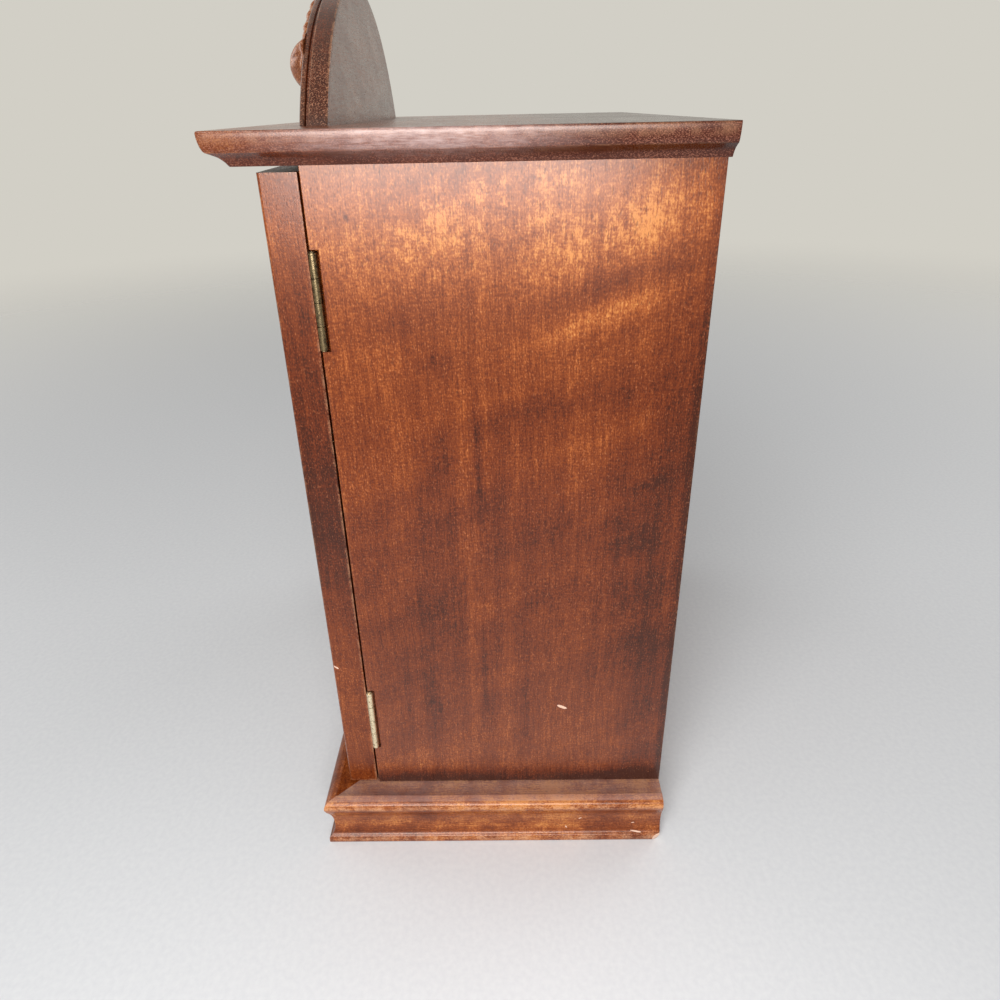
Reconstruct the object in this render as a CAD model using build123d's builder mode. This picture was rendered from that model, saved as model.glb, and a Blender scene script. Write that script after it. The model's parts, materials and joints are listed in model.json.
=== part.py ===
from build123d import *
import math
import os

os.makedirs("parts", exist_ok=True)

# Jewellery cabinet that stands on a dressing table: a moulded base, a case with a top board and a
# carved crest, a framed glass door hinged on the right, three drawers and a necklace compartment.
# The front faces -Y, +X is to the right and +Z is up. The origin is on the table, under the middle
# of the space that the cabinet takes. All sizes are in millimetres.

# Case
case_width = 228.0
case_depth = 128.0
case_height = 259.0
side_thickness = 10.0
back_thickness = 4.0
back_rabbet = 5.0
dado_depth = 3.0

# Base frame
base_height = 25.0
base_setout = 10.3
base_inset = 6.0
base_foot_out = 12.6
base_foot_height = 3.4
base_cove_out = 9.9
base_cove_height = 10.8
base_neck_out = 11.0
base_neck_height = 16.4
base_nose_out = 12.8
base_nose_height = 21.6
base_shoulder_out = 11.2
base_shoulder_height = 24.0
base_ledge_out = 5.8
base_ledge_step = 0.7
base_rail_thickness = 12.0
bottom_thickness = 8.0
corner_block_size = 14.0
corner_block_height = 14.0

# Top board
top_thickness = 9.7
top_side_overhang = 10.2
top_front_overhang = 25.6
top_cove_height = 4.0
top_cove_depth = 4.8
top_cove_hollow = 0.5
top_band_lean = 1.2

# Crest
crest_half_width = 86.0
crest_rise = 48.0
crest_setout = 5.4
crest_body_thickness = 6.6
crest_groove_width = 1.2
crest_groove_depth = 1.7
crest_bead_thickness = 2.1
crest_bead_inset = 0.8
crest_screw_spacing = 110.0
crest_screw_radius = 1.6
crest_screw_head_radius = 3.2
crest_screw_head_height = 1.8
crest_screw_bite = 16.0

# Carving on the crest
rosette_radius = 7.0
rosette_relief = 6.4
rosette_inset = 27.0
rosette_lift = 18.0
rosette_petals = 8
rosette_petal_reach = 5.25
rosette_petal_length = 7.0
rosette_petal_width = 4.6
rosette_petal_relief = 2.2
stem_width = 3.4
stem_inset = 8.3
stem_start = 11.0
stem_end = 36.0
leaf_count = 5
leaf_first = 14.0
leaf_pitch = 4.8
leaf_length = 13.0
leaf_width = 5.8
leaf_relief = 2.6
leaf_offset = 3.0
leaf_turn = 24.0
shell_lobes = 7
shell_lift = 11.0
shell_reach = 26.0
shell_lobe_length = 24.0
shell_lobe_width = 8.6
shell_relief = 3.6
shell_lobe_pitch = 22.0
shell_boss_radius = 5.4
shell_boss_relief = 5.0

# Door
door_thickness = 12.4
door_gap = 0.7
door_top_gap = 2.0
door_bottom_gap = 1.2
stile_width = 30.0
top_rail_height = 30.0
bottom_rail_height = 34.0
door_arris_radius = 1.0
sticking_size = 3.0
sticking_slope = 45.0
glass_lip = 5.0
glass_rabbet = 5.0
glass_thickness = 3.0
glass_clearance = 0.3
bead_width = 4.6
bead_thickness = 4.2
tenon_length = 12.0
tenon_thickness = 4.0
tenon_front = 3.4
tenon_shoulder = 6.5
tenon_clearance = 0.1

# Door knob
knob_neck_flare = 0.3
door_knob_radius = 7.0
door_knob_length = 11.4
door_knob_foot_radius = 5.2
door_knob_neck_radius = 2.6
door_knob_foot_length = 1.6
door_knob_under = 2.6
door_knob_crown = 4.0
door_knob_inset = 15.0
knob_screw_radius = 1.5
knob_screw_head_radius = 3.4
knob_screw_head_height = 2.0
knob_screw_bite = 6.0
knob_counterbore_depth = 3.0
screw_bore_clearance = 0.1

# Hinges
hinge_length = 31.0
hinge_barrel_radius = 1.45
hinge_pin_radius = 0.7
hinge_pin_clearance = 0.05
hinge_pin_head = 0.4
hinge_pin_head_radius = 1.1
hinge_pin_end_gap = 0.1
hinge_leaf_width = 7.6
hinge_leaf_thickness = 0.8
hinge_knuckles = 4
hinge_knuckle_gap = 0.2
hinge_barrel_clearance = 0.25
hinge_from_door_top = 38.8
hinge_from_door_bottom = 36.8
hinge_screw_spacing = 18.0
hinge_screw_from_pin = 4.9
hinge_screw_radius = 0.8
hinge_screw_head_radius = 1.5
hinge_screw_bite = 7.0
hinge_screw_recess = 0.1
hinge_screw_rim = 0.15
hinge_screw_clearance = 0.05
mortise_clearance = 0.3
relief_depth = 3.0
relief_width = 1.9
relief_end_clearance = 0.9

# Interior
interior_recess = 14.0
divider_thickness = 5.0
shelf_thickness = 6.0
felt_thickness = 1.2
felt_clearance = 0.3

# Drawers, from the lowest up
drawer_heights = (46.0, 40.0, 34.0)
drawer_names = ("lower_drawer", "middle_drawer", "upper_drawer")
drawer_side_clearance = 0.6
drawer_runner_clearance = 0.3
drawer_head_clearance = 1.0
drawer_back_clearance = 0.5
drawer_front_thickness = 9.0
drawer_wall_thickness = 6.0
drawer_wall_drop = 4.0
drawer_bottom_thickness = 3.0
drawer_bottom_lift = 2.0
drawer_groove_depth = 2.5
drawer_knob_radius = 5.6
drawer_knob_length = 11.0
drawer_knob_foot_radius = 4.2
drawer_knob_neck_radius = 2.1
drawer_knob_foot_length = 1.4
drawer_knob_under = 2.2
drawer_knob_crown = 3.4
drawer_knob_spigot_radius = 1.6
drawer_knob_spigot_length = 6.5
drawer_knob_spigot_clearance = 0.05
ring_cushion_width = 92.0
ring_cushion_height = 17.0
ring_cushion_radius = 4.0

# Necklace rail and catch
hook_rail_width = 188.0
hook_rail_height = 13.0
hook_rail_thickness = 8.0
hook_rail_drop = 10.0
hook_count = 7
hook_spacing = 27.0
hook_wire_radius = 0.9
hook_reach = 3.0
hook_bend = 2.4
hook_cup = 3.2
hook_tail = 2.0
hook_bite = 5.0
hook_bore_clearance = 0.05
catch_width = 24.0
catch_depth = 13.0
catch_height = 8.0
catch_from_side = 6.0
strike_width = 18.0
strike_height = 7.0
strike_thickness = 0.5
strike_margin = 1.0

# Planes and places that follow from the sizes above
case_half = case_width / 2
inner_half = case_half - side_thickness
back_y = (case_depth + top_front_overhang) / 2
case_y = back_y - case_depth
door_back_y = case_y - door_gap
door_front_y = door_back_y - door_thickness
base_front_y = case_y - base_setout
inner_back_y = back_y - back_thickness
interior_y = case_y + interior_recess
top_under_z = base_height + case_height
top_z = top_under_z + top_thickness
door_bottom_z = base_height + door_bottom_gap
door_top_z = top_under_z - door_top_gap
crest_front_y = case_y - crest_setout
crest_thickness = crest_body_thickness + crest_groove_width + crest_bead_thickness
crest_back_y = crest_front_y + crest_thickness
crest_mid_y = crest_front_y + crest_thickness / 2
crest_radius = (crest_half_width**2 + crest_rise**2) / (2 * crest_rise)
crest_centre_z = top_z + crest_rise - crest_radius
pin_x = case_half
pin_y = door_back_y + hinge_barrel_radius
screw_x = pin_x - hinge_screw_from_pin
hinge_centres_z = {
    "upper_hinge": door_top_z - hinge_from_door_top,
    "lower_hinge": door_bottom_z + hinge_from_door_bottom,
}


def drawer_floors():
    """Height of the surface that each drawer runs on, from the lowest drawer up, and of the shelf top."""
    floors = [base_height]
    for index, height in enumerate(drawer_heights):
        opening = drawer_runner_clearance + height + drawer_head_clearance
        last = index == len(drawer_heights) - 1
        board = shelf_thickness if last else divider_thickness
        floors.append(floors[-1] + opening + board)
    return floors


floors_z = drawer_floors()
shelf_z = floors_z[-1]


def span(low, high):
    """Size and middle of the stretch from low to high."""
    return high - low, (low + high) / 2


def block(x, y, z, mode=Mode.ADD):
    """A square-edged block between two places along each axis, in the part that is being built."""
    (size_x, mid_x), (size_y, mid_y) = span(*x), span(*y)
    with BuildSketch(Plane.XY.offset(z[0])) as footprint:
        with Locations((mid_x, mid_y)):
            Rectangle(size_x, size_y)
    extrude(footprint.sketch, amount=z[1] - z[0], mode=mode)


def round_bar(x, z, from_y, to_y, radius, mode=Mode.ADD):
    """A round bar, or with Mode.SUBTRACT a hole, that runs from front to back."""
    with BuildSketch(Plane.XZ.offset(-from_y)) as section:
        with Locations((x, z)):
            Circle(radius)
    extrude(section.sketch, amount=from_y - to_y, mode=mode)


def save(piece, name):
    """Label a finished piece and write it to its own file."""
    piece.label = name
    export_step(piece, f"parts/{name}.step")


# Side panels: rebated for the back, grooved for the shelf and the dividers
def side_panel_block():
    block((inner_half, case_half), (case_y, back_y), (base_height, top_under_z))
    block((inner_half, inner_half + back_rabbet), (inner_back_y, back_y), (base_height, top_under_z),
          Mode.SUBTRACT)
    for index, floor in enumerate(floors_z[1:]):
        last = index == len(drawer_heights) - 1
        board = shelf_thickness if last else divider_thickness
        block((inner_half, inner_half + dado_depth), (interior_y, inner_back_y), (floor - board, floor),
              Mode.SUBTRACT)


with BuildPart() as left_side_maker:
    side_panel_block()
with BuildPart() as side_panel_left:
    mirror(left_side_maker.part, about=Plane.YZ)
save(side_panel_left.part, "side_panel_left")

with BuildPart() as side_panel_right:
    side_panel_block()
    for centre_z in hinge_centres_z.values():
        leaf_reach = hinge_length / 2 + mortise_clearance
        relief_reach = hinge_length / 2 + relief_end_clearance
        leaf_seat_y = pin_y + hinge_barrel_radius
        block((case_half - hinge_leaf_width - mortise_clearance, case_half), (case_y, leaf_seat_y),
              (centre_z - leaf_reach, centre_z + leaf_reach), Mode.SUBTRACT)
        block((case_half - relief_width, case_half), (case_y, case_y + relief_depth),
              (centre_z - relief_reach, centre_z + relief_reach), Mode.SUBTRACT)
        for side in (-1, 1):
            screw_z = centre_z + side * hinge_screw_spacing / 2
            round_bar(screw_x, screw_z, case_y, leaf_seat_y + hinge_screw_bite,
                      hinge_screw_radius + hinge_screw_clearance, Mode.SUBTRACT)
save(side_panel_right.part, "side_panel_right")

with BuildPart() as back_panel:
    block((-inner_half - back_rabbet, inner_half + back_rabbet), (inner_back_y, back_y),
          (base_height, top_under_z))
save(back_panel.part, "back_panel")


# Base frame: one moulding profile, mitred round the front corners
def base_profile():
    """Closed outline of the base moulding: out from the case is local x and up is local y."""
    with BuildLine() as outline:
        foot = Line((base_foot_out, 0), (base_foot_out, base_foot_height))
        cove = ThreePointArc(foot @ 1, (base_cove_out, base_cove_height), (base_neck_out, base_neck_height))
        neck = TangentArc(cove @ 1, (base_nose_out, base_nose_height), tangent=cove % 1)
        nose = TangentArc(neck @ 1, (base_shoulder_out, base_shoulder_height), tangent=neck % 1)
        ledge_z = base_height - base_ledge_step
        Polyline(nose @ 1, (base_ledge_out, ledge_z), (base_ledge_out, base_height),
                 (-base_inset, base_height), (-base_inset, 0), foot @ 0)
    make_face(outline.edges())


mitre_right = Plane(origin=(case_half, base_front_y, 0), x_dir=(1, -1, 0), z_dir=(1, 1, 0))
mitre_left = Plane(origin=(-case_half, base_front_y, 0), x_dir=(1, 1, 0), z_dir=(-1, 1, 0))

with BuildPart() as base_moulding_front:
    with BuildSketch(Plane(origin=(0, base_front_y, 0), x_dir=(0, -1, 0), z_dir=(-1, 0, 0))):
        base_profile()
    extrude(amount=case_half + base_nose_out + base_foot_out, both=True)
    split(bisect_by=mitre_right, keep=Keep.BOTTOM)
    split(bisect_by=mitre_left, keep=Keep.BOTTOM)
save(base_moulding_front.part, "base_moulding_front")

with BuildPart() as base_moulding_right:
    with BuildSketch(Plane(origin=(case_half, back_y, 0), x_dir=(1, 0, 0), z_dir=(0, -1, 0))):
        base_profile()
    extrude(amount=case_depth + base_setout + base_nose_out + base_foot_out)
    split(bisect_by=mitre_right, keep=Keep.TOP)
save(base_moulding_right.part, "base_moulding_right")

with BuildPart() as base_moulding_left:
    mirror(base_moulding_right.part, about=Plane.YZ)
save(base_moulding_left.part, "base_moulding_left")

frame_half = case_half - base_inset
frame_front_y = base_front_y + base_inset
base_rail_y = back_y - base_rail_thickness
bottom_under_z = base_height - bottom_thickness

with BuildPart() as base_back_rail:
    block((-frame_half, frame_half), (base_rail_y, back_y), (0, base_height))
save(base_back_rail.part, "base_back_rail")

with BuildPart() as bottom_board:
    block((-frame_half, frame_half), (frame_front_y, base_rail_y), (bottom_under_z, base_height))
save(bottom_board.part, "bottom_board")

with BuildPart() as corner_blocks:
    for side_x in (-1, 1):
        corner_x = sorted((side_x * frame_half, side_x * (frame_half - corner_block_size)))
        for corner_y in ((frame_front_y, frame_front_y + corner_block_size),
                         (base_rail_y - corner_block_size, base_rail_y)):
            block(corner_x, corner_y, (bottom_under_z - corner_block_height, bottom_under_z))
save(corner_blocks.part, "corner_blocks")


# Top board: an upright band over a hollow, worked along the front and both sides
def top_edge_waste():
    """What the moulding cutter takes off the top board: in from the edge is local -x, up is local y."""
    outside = top_band_lean
    below = top_under_z - top_band_lean
    band_z = top_under_z + top_cove_height
    inner = -top_band_lean - top_cove_depth
    hollow = ((inner - top_band_lean) / 2 - top_cove_hollow, (top_under_z + band_z) / 2 + top_cove_hollow)
    with BuildLine() as outline:
        band = Line((0, top_z), (-top_band_lean, band_z))
        cove = ThreePointArc(band @ 1, hollow, (inner, top_under_z))
        Polyline(cove @ 1, (inner, below), (outside, below), (outside, top_z), band @ 0)
    make_face(outline.edges())


top_half = case_half + top_side_overhang
top_front_y = case_y - top_front_overhang

with BuildPart() as top_board:
    block((-top_half, top_half), (top_front_y, back_y), (top_under_z, top_z))
    for plane, length in (
        (Plane(origin=(top_half, back_y, 0), x_dir=(1, 0, 0), z_dir=(0, -1, 0)), back_y - top_front_y),
        (Plane(origin=(-top_half, top_front_y, 0), x_dir=(-1, 0, 0), z_dir=(0, 1, 0)), back_y - top_front_y),
        (Plane(origin=(top_half, top_front_y, 0), x_dir=(0, -1, 0), z_dir=(-1, 0, 0)), 2 * top_half),
    ):
        with BuildSketch(plane):
            top_edge_waste()
        extrude(amount=length, mode=Mode.SUBTRACT)
    for side in (-1, 1):
        with BuildSketch(Plane.XY.offset(top_under_z)):
            with Locations((side * crest_screw_spacing / 2, crest_mid_y)):
                Circle(crest_screw_radius + screw_bore_clearance)
        extrude(amount=top_thickness, mode=Mode.SUBTRACT)
        with BuildSketch(Plane.XY.offset(top_under_z)):
            with Locations((side * crest_screw_spacing / 2, crest_mid_y)):
                Circle(crest_screw_head_radius + screw_bore_clearance)
        extrude(amount=crest_screw_head_height + screw_bore_clearance, mode=Mode.SUBTRACT)
save(top_board.part, "top_board")


# Crest: a board with an arched top edge, turned about the arch's centre and cut level with the top board
def crest_section():
    """Half a section through the arch: depth from the front is local x and distance from the centre is y."""
    bead_out = crest_radius - crest_bead_inset
    groove_out = crest_radius - crest_groove_depth
    groove_front = crest_bead_thickness
    groove_back = groove_front + crest_groove_width
    with BuildLine() as outline:
        Polyline((0, 0), (0, bead_out), (groove_front, bead_out), (groove_front, groove_out),
                 (groove_back, groove_out), (groove_back, crest_radius), (crest_thickness, crest_radius),
                 (crest_thickness, 0), (0, 0))
    make_face(outline.edges())


arch_centre = (0, crest_front_y, crest_centre_z)

with BuildPart() as crest_board:
    with BuildSketch(Plane(origin=arch_centre, x_dir=(0, 1, 0), z_dir=(1, 0, 0))):
        crest_section()
    revolve(axis=Axis(arch_centre, (0, 1, 0)))
    split(bisect_by=Plane.XY.offset(top_z), keep=Keep.TOP)
    for side in (-1, 1):
        with BuildSketch(Plane.XY.offset(top_z)):
            with Locations((side * crest_screw_spacing / 2, crest_mid_y)):
                Circle(crest_screw_radius + screw_bore_clearance)
        extrude(amount=crest_screw_bite + screw_bore_clearance, mode=Mode.SUBTRACT)
save(crest_board.part, "crest_board")

with BuildPart() as crest_screws:
    for side in (-1, 1):
        with BuildSketch(Plane.XY.offset(top_under_z)):
            with Locations((side * crest_screw_spacing / 2, crest_mid_y)):
                Circle(crest_screw_head_radius)
        extrude(amount=crest_screw_head_height)
        with BuildSketch(Plane.XY.offset(top_under_z)):
            with Locations((side * crest_screw_spacing / 2, crest_mid_y)):
                Circle(crest_screw_radius)
        extrude(amount=top_thickness + crest_screw_bite)
save(crest_screws.part, "crest_screws")


# Carving: a rosette near each end, leaves that climb beside the arch, and a shell in the middle
def petal(centre, turn, length, width, relief):
    """A spindle that lies along a line on the crest's face and stands out of it by relief."""
    axis_y = crest_front_y + width / 2 - relief
    along = (math.cos(math.radians(turn)), 0, math.sin(math.radians(turn)))
    plane = Plane(origin=(centre[0], axis_y, centre[1]), x_dir=along, z_dir=(0, -1, 0))
    with BuildSketch(plane) as profile:
        with BuildLine():
            bow = ThreePointArc((-length / 2, 0), (0, width / 2), (length / 2, 0))
            Line(bow @ 1, bow @ 0)
        make_face()
    revolve(profile.sketch, axis=Axis(plane.origin, plane.x_dir))


def dome(centre, radius, relief):
    """A round boss on the crest's face."""
    plane = Plane(origin=(centre[0], crest_front_y, centre[1]), x_dir=(1, 0, 0), z_dir=(0, 0, 1))
    with BuildSketch(plane) as profile:
        with BuildLine():
            crown = TangentArc((0, -relief), (radius, 0), tangent=(1, 0))
            Polyline(crown @ 1, (0, 0), crown @ 0)
        make_face()
    revolve(profile.sketch, axis=Axis(plane.origin, (0, 1, 0)))


def arch_point(turn, inset):
    """Place on the crest's face, turned from upright by an angle and drawn in from the arched edge."""
    radius = crest_radius - inset
    return (radius * math.sin(math.radians(turn)), crest_centre_z + radius * math.cos(math.radians(turn)))


with BuildPart() as crest_carving:
    for side in (-1, 1):
        rosette = (side * (crest_half_width - rosette_inset), top_z + rosette_lift)
        for index in range(rosette_petals):
            turn = index * 360 / rosette_petals
            place = (rosette[0] + rosette_petal_reach * math.cos(math.radians(turn)),
                     rosette[1] + rosette_petal_reach * math.sin(math.radians(turn)))
            petal(place, turn, rosette_petal_length, rosette_petal_width, rosette_petal_relief)
        dome(rosette, rosette_radius, rosette_relief)
        for index in range(leaf_count):
            turn = side * (leaf_first + index * leaf_pitch)
            for wing in (-1, 1):
                place = arch_point(turn, stem_inset + wing * leaf_offset)
                petal(place, -turn + side * wing * leaf_turn, leaf_length, leaf_width, leaf_relief)
        stem_root = arch_point(side * stem_end, stem_inset)
        with BuildSketch(Plane(origin=(stem_root[0], crest_front_y, stem_root[1]), x_dir=(0, 1, 0),
                               z_dir=(math.cos(math.radians(stem_end)), 0,
                                      -side * math.sin(math.radians(stem_end))))):
            Circle(stem_width / 2)
        revolve(axis=Axis((0, crest_front_y, crest_centre_z), (0, -side, 0)),
                revolution_arc=stem_end - stem_start)
    for index in range(shell_lobes):
        turn = 90 + (index - (shell_lobes - 1) / 2) * shell_lobe_pitch
        reach = shell_reach - shell_lobe_length / 2
        place = (reach * math.cos(math.radians(turn)),
                 top_z + shell_lift + reach * math.sin(math.radians(turn)))
        petal(place, turn, shell_lobe_length, shell_lobe_width, shell_relief)
    dome((0, top_z + shell_lift), shell_boss_radius, shell_boss_relief)
    block((-crest_half_width, crest_half_width), (crest_front_y, crest_back_y), (top_z, top_z + crest_rise),
          Mode.SUBTRACT)
save(crest_carving.part, "crest_carving")


# Door: two stiles and two rails with stub tenons, a pane held by beads, and a rebate for both
opening_half = case_half - stile_width
opening_bottom_z = door_bottom_z + bottom_rail_height
opening_top_z = door_top_z - top_rail_height
pane_mid_z = (opening_bottom_z + opening_top_z) / 2
seat_half = opening_half + glass_rabbet
lip_y = door_front_y + glass_lip


def cut_glass_seat():
    """Take the glass rebate and the sloped front edge off a frame piece."""
    block((-seat_half, seat_half), (lip_y, door_back_y),
          (opening_bottom_z - glass_rabbet, opening_top_z + glass_rabbet), Mode.SUBTRACT)
    with BuildSketch(Plane.XZ.offset(-door_front_y)) as slope:
        with Locations((0, pane_mid_z)):
            Rectangle(2 * (opening_half + sticking_size),
                      opening_top_z - opening_bottom_z + 2 * sticking_size)
    extrude(slope.sketch, amount=-sticking_size, taper=sticking_slope, mode=Mode.SUBTRACT)


def tenon_ends():
    """Height of each rail's tenon, clear of the glass rebate."""
    return {
        "top": (opening_top_z + tenon_shoulder, door_top_z - tenon_shoulder),
        "bottom": (door_bottom_z + tenon_shoulder, opening_bottom_z - tenon_shoulder),
    }


with BuildPart() as stile:
    block((opening_half, case_half), (door_front_y, door_back_y), (door_bottom_z, door_top_z))
    outer = stile.edges().filter_by(Axis.Z).group_by(Axis.X)[-1].sort_by(Axis.Y)[0]
    fillet(outer, door_arris_radius)
    for low, high in tenon_ends().values():
        block((opening_half, opening_half + tenon_length + tenon_clearance),
              (door_front_y + tenon_front - tenon_clearance,
               door_front_y + tenon_front + tenon_thickness + tenon_clearance),
              (low - tenon_clearance, high + tenon_clearance), Mode.SUBTRACT)
    cut_glass_seat()

with BuildPart() as door_stile_right:
    add(stile.part)
    for centre_z in hinge_centres_z.values():
        for side in (-1, 1):
            round_bar(screw_x, centre_z + side * hinge_screw_spacing / 2,
                      door_back_y - hinge_screw_bite, door_back_y,
                      hinge_screw_radius + hinge_screw_clearance, Mode.SUBTRACT)
save(door_stile_right.part, "door_stile_right")

knob_x = -(case_half - door_knob_inset)
knob_z = (door_bottom_z + door_top_z) / 2
counterbore_y = door_back_y - knob_counterbore_depth

with BuildPart() as door_stile_left:
    mirror(stile.part, about=Plane.YZ)
    round_bar(knob_x, knob_z, door_front_y, door_back_y, knob_screw_radius + screw_bore_clearance,
              Mode.SUBTRACT)
    round_bar(knob_x, knob_z, counterbore_y, door_back_y, knob_screw_head_radius + screw_bore_clearance,
              Mode.SUBTRACT)
save(door_stile_left.part, "door_stile_left")


def rail_block(place, low, high):
    """One rail of the door with a tenon at each end."""
    tenon_low, tenon_high = tenon_ends()[place]
    block((-opening_half, opening_half), (door_front_y, door_back_y), (low, high))
    cut_glass_seat()
    block((-opening_half - tenon_length, opening_half + tenon_length),
          (door_front_y + tenon_front, door_front_y + tenon_front + tenon_thickness),
          (tenon_low, tenon_high))


with BuildPart() as door_rail_top:
    rail_block("top", opening_top_z, door_top_z)
save(door_rail_top.part, "door_rail_top")

with BuildPart() as door_rail_bottom:
    rail_block("bottom", door_bottom_z, opening_bottom_z)
save(door_rail_bottom.part, "door_rail_bottom")

pane_half = seat_half - glass_clearance
pane_low_z = opening_bottom_z - glass_rabbet + glass_clearance
pane_high_z = opening_top_z + glass_rabbet - glass_clearance
pane_back_y = lip_y + glass_thickness

with BuildPart() as door_glass:
    block((-pane_half, pane_half), (lip_y, pane_back_y), (pane_low_z, pane_high_z))
save(door_glass.part, "door_glass")

with BuildPart() as glass_beads:
    bead_y = (pane_back_y, pane_back_y + bead_thickness)
    bead_low_z = opening_bottom_z - glass_rabbet
    bead_high_z = opening_top_z + glass_rabbet
    block((-seat_half, seat_half), bead_y, (bead_low_z, bead_low_z + bead_width))
    block((-seat_half, seat_half), bead_y, (bead_high_z - bead_width, bead_high_z))
    for bead_x in ((-seat_half, bead_width - seat_half), (seat_half - bead_width, seat_half)):
        block(bead_x, bead_y, (bead_low_z + bead_width + tenon_clearance,
                               bead_high_z - bead_width - tenon_clearance))
save(glass_beads.part, "glass_beads")


# Knobs: turned brass, a round head on a waisted neck
def turned_knob(place, foot_radius, foot_length, neck_radius, head_radius, under, crown, length):
    """A knob that stands on a face at place and points to the front."""
    widest = length - crown
    throat = widest - under
    hollow = (neck_radius + knob_neck_flare, (foot_length + throat) / 2)
    with BuildSketch(Plane(origin=place, x_dir=(1, 0, 0), z_dir=(0, 0, -1))) as profile:
        with BuildLine():
            foot = Polyline((0, 0), (foot_radius, 0), (foot_radius, foot_length))
            neck = ThreePointArc(foot @ 1, hollow, (neck_radius, throat))
            under_arc = TangentArc((head_radius, widest), neck @ 1, tangent=(0, -1))
            crown_arc = TangentArc((0, length), under_arc @ 0, tangent=(1, 0))
            Line(crown_arc @ 0, foot @ 0)
        make_face()
    revolve(profile.sketch, axis=Axis(place, (0, -1, 0)))


with BuildPart() as door_knob:
    turned_knob((knob_x, door_front_y, knob_z), door_knob_foot_radius, door_knob_foot_length,
                door_knob_neck_radius, door_knob_radius, door_knob_under, door_knob_crown, door_knob_length)
    round_bar(knob_x, knob_z, door_front_y - knob_screw_bite - screw_bore_clearance, door_front_y,
              knob_screw_radius + screw_bore_clearance, Mode.SUBTRACT)
save(door_knob.part, "door_knob")

with BuildPart() as door_knob_screw:
    round_bar(knob_x, knob_z, counterbore_y, counterbore_y + knob_screw_head_height, knob_screw_head_radius)
    round_bar(knob_x, knob_z, door_front_y - knob_screw_bite, counterbore_y, knob_screw_radius)
save(door_knob_screw.part, "door_knob_screw")


# Hinges: butt hinges with the barrel let into the front edge of the right side panel
hinge_pitch = hinge_length / hinge_knuckles
case_leaf_y = (pin_y + hinge_barrel_radius - hinge_leaf_thickness, pin_y + hinge_barrel_radius)
door_leaf_y = (pin_y - hinge_barrel_radius, pin_y - hinge_barrel_radius + hinge_leaf_thickness)


def upright_bar(radius, low_z, high_z, mode=Mode.ADD):
    """A round bar on the hinge's axis, or with Mode.SUBTRACT a bore."""
    with BuildSketch(Plane.XY.offset(low_z)) as section:
        with Locations((pin_x, pin_y)):
            Circle(radius)
    extrude(section.sketch, amount=high_z - low_z, mode=mode)


def hinge_screw(head_y, direction, screw_z, grow=0.0, mode=Mode.ADD):
    """A countersunk screw whose head's face lies at head_y, or the hole for it."""
    head_depth = hinge_leaf_thickness - hinge_screw_recess
    plane = Plane(origin=(screw_x, head_y, screw_z), x_dir=(1, 0, 0), z_dir=(0, 0, direction))
    lead = hinge_screw_recess if mode == Mode.SUBTRACT else 0.0
    with BuildSketch(plane) as profile:
        with BuildLine():
            Polyline((0, -lead), (hinge_screw_head_radius + grow, -lead),
                     (hinge_screw_head_radius + grow, hinge_screw_rim),
                     (hinge_screw_radius + grow, head_depth), (hinge_screw_radius + grow, hinge_screw_bite),
                     (0, hinge_screw_bite), (0, -lead))
        make_face()
    revolve(profile.sketch, axis=Axis(plane.origin, (0, direction, 0)), mode=mode)


def hinge_leaf(leaf_y, centre_z, first_knuckle, head_y, direction):
    """A leaf with every second knuckle of the barrel, counted from the top."""
    high_z = centre_z + hinge_length / 2
    block((pin_x - hinge_leaf_width, pin_x), leaf_y, (centre_z - hinge_length / 2, high_z))
    for index in range(hinge_knuckles):
        knuckle_high = high_z - index * hinge_pitch
        knuckle_low = knuckle_high - hinge_pitch
        if index % 2 == first_knuckle:
            trim_high = hinge_knuckle_gap / 2 if index > 0 else 0.0
            trim_low = hinge_knuckle_gap / 2 if index < hinge_knuckles - 1 else 0.0
            upright_bar(hinge_barrel_radius, knuckle_low + trim_low, knuckle_high - trim_high)
    for index in range(hinge_knuckles):
        knuckle_high = high_z - index * hinge_pitch
        if index % 2 != first_knuckle:
            upright_bar(hinge_barrel_radius + hinge_barrel_clearance,
                        knuckle_high - hinge_pitch - hinge_knuckle_gap / 2,
                        knuckle_high + hinge_knuckle_gap / 2, Mode.SUBTRACT)
    upright_bar(hinge_pin_radius + hinge_pin_clearance, centre_z - hinge_length, centre_z + hinge_length,
                Mode.SUBTRACT)
    for side in (-1, 1):
        hinge_screw(head_y, direction, centre_z + side * hinge_screw_spacing / 2, hinge_screw_clearance,
                    Mode.SUBTRACT)


case_head_y = case_leaf_y[0] + hinge_screw_recess
door_head_y = door_leaf_y[1] - hinge_screw_recess

for name, centre_z in hinge_centres_z.items():
    with BuildPart() as case_leaf:
        hinge_leaf(case_leaf_y, centre_z, 0, case_head_y, 1)
    save(case_leaf.part, f"{name}_case_leaf")
    with BuildPart() as door_leaf:
        hinge_leaf(door_leaf_y, centre_z, 1, door_head_y, -1)
    save(door_leaf.part, f"{name}_door_leaf")
    pin_reach = hinge_length / 2 + hinge_pin_end_gap
    with BuildPart() as pin:
        upright_bar(hinge_pin_radius, centre_z - pin_reach, centre_z + pin_reach)
        upright_bar(hinge_pin_head_radius, centre_z + pin_reach, centre_z + pin_reach + hinge_pin_head)
        upright_bar(hinge_pin_head_radius, centre_z - pin_reach - hinge_pin_head, centre_z - pin_reach)
    save(pin.part, f"{name}_pin")

for name, head_y, direction in (("case", case_head_y, 1), ("door", door_head_y, -1)):
    with BuildPart() as screws:
        for centre_z in hinge_centres_z.values():
            for side in (-1, 1):
                hinge_screw(head_y, direction, centre_z + side * hinge_screw_spacing / 2)
    save(screws.part, f"hinge_screws_{name}")


# Catch: a magnet block under the top board and a strike plate on the door
catch_x = (-inner_half + catch_from_side, -inner_half + catch_from_side + catch_width)
catch_mid_x = (catch_x[0] + catch_x[1]) / 2

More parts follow.
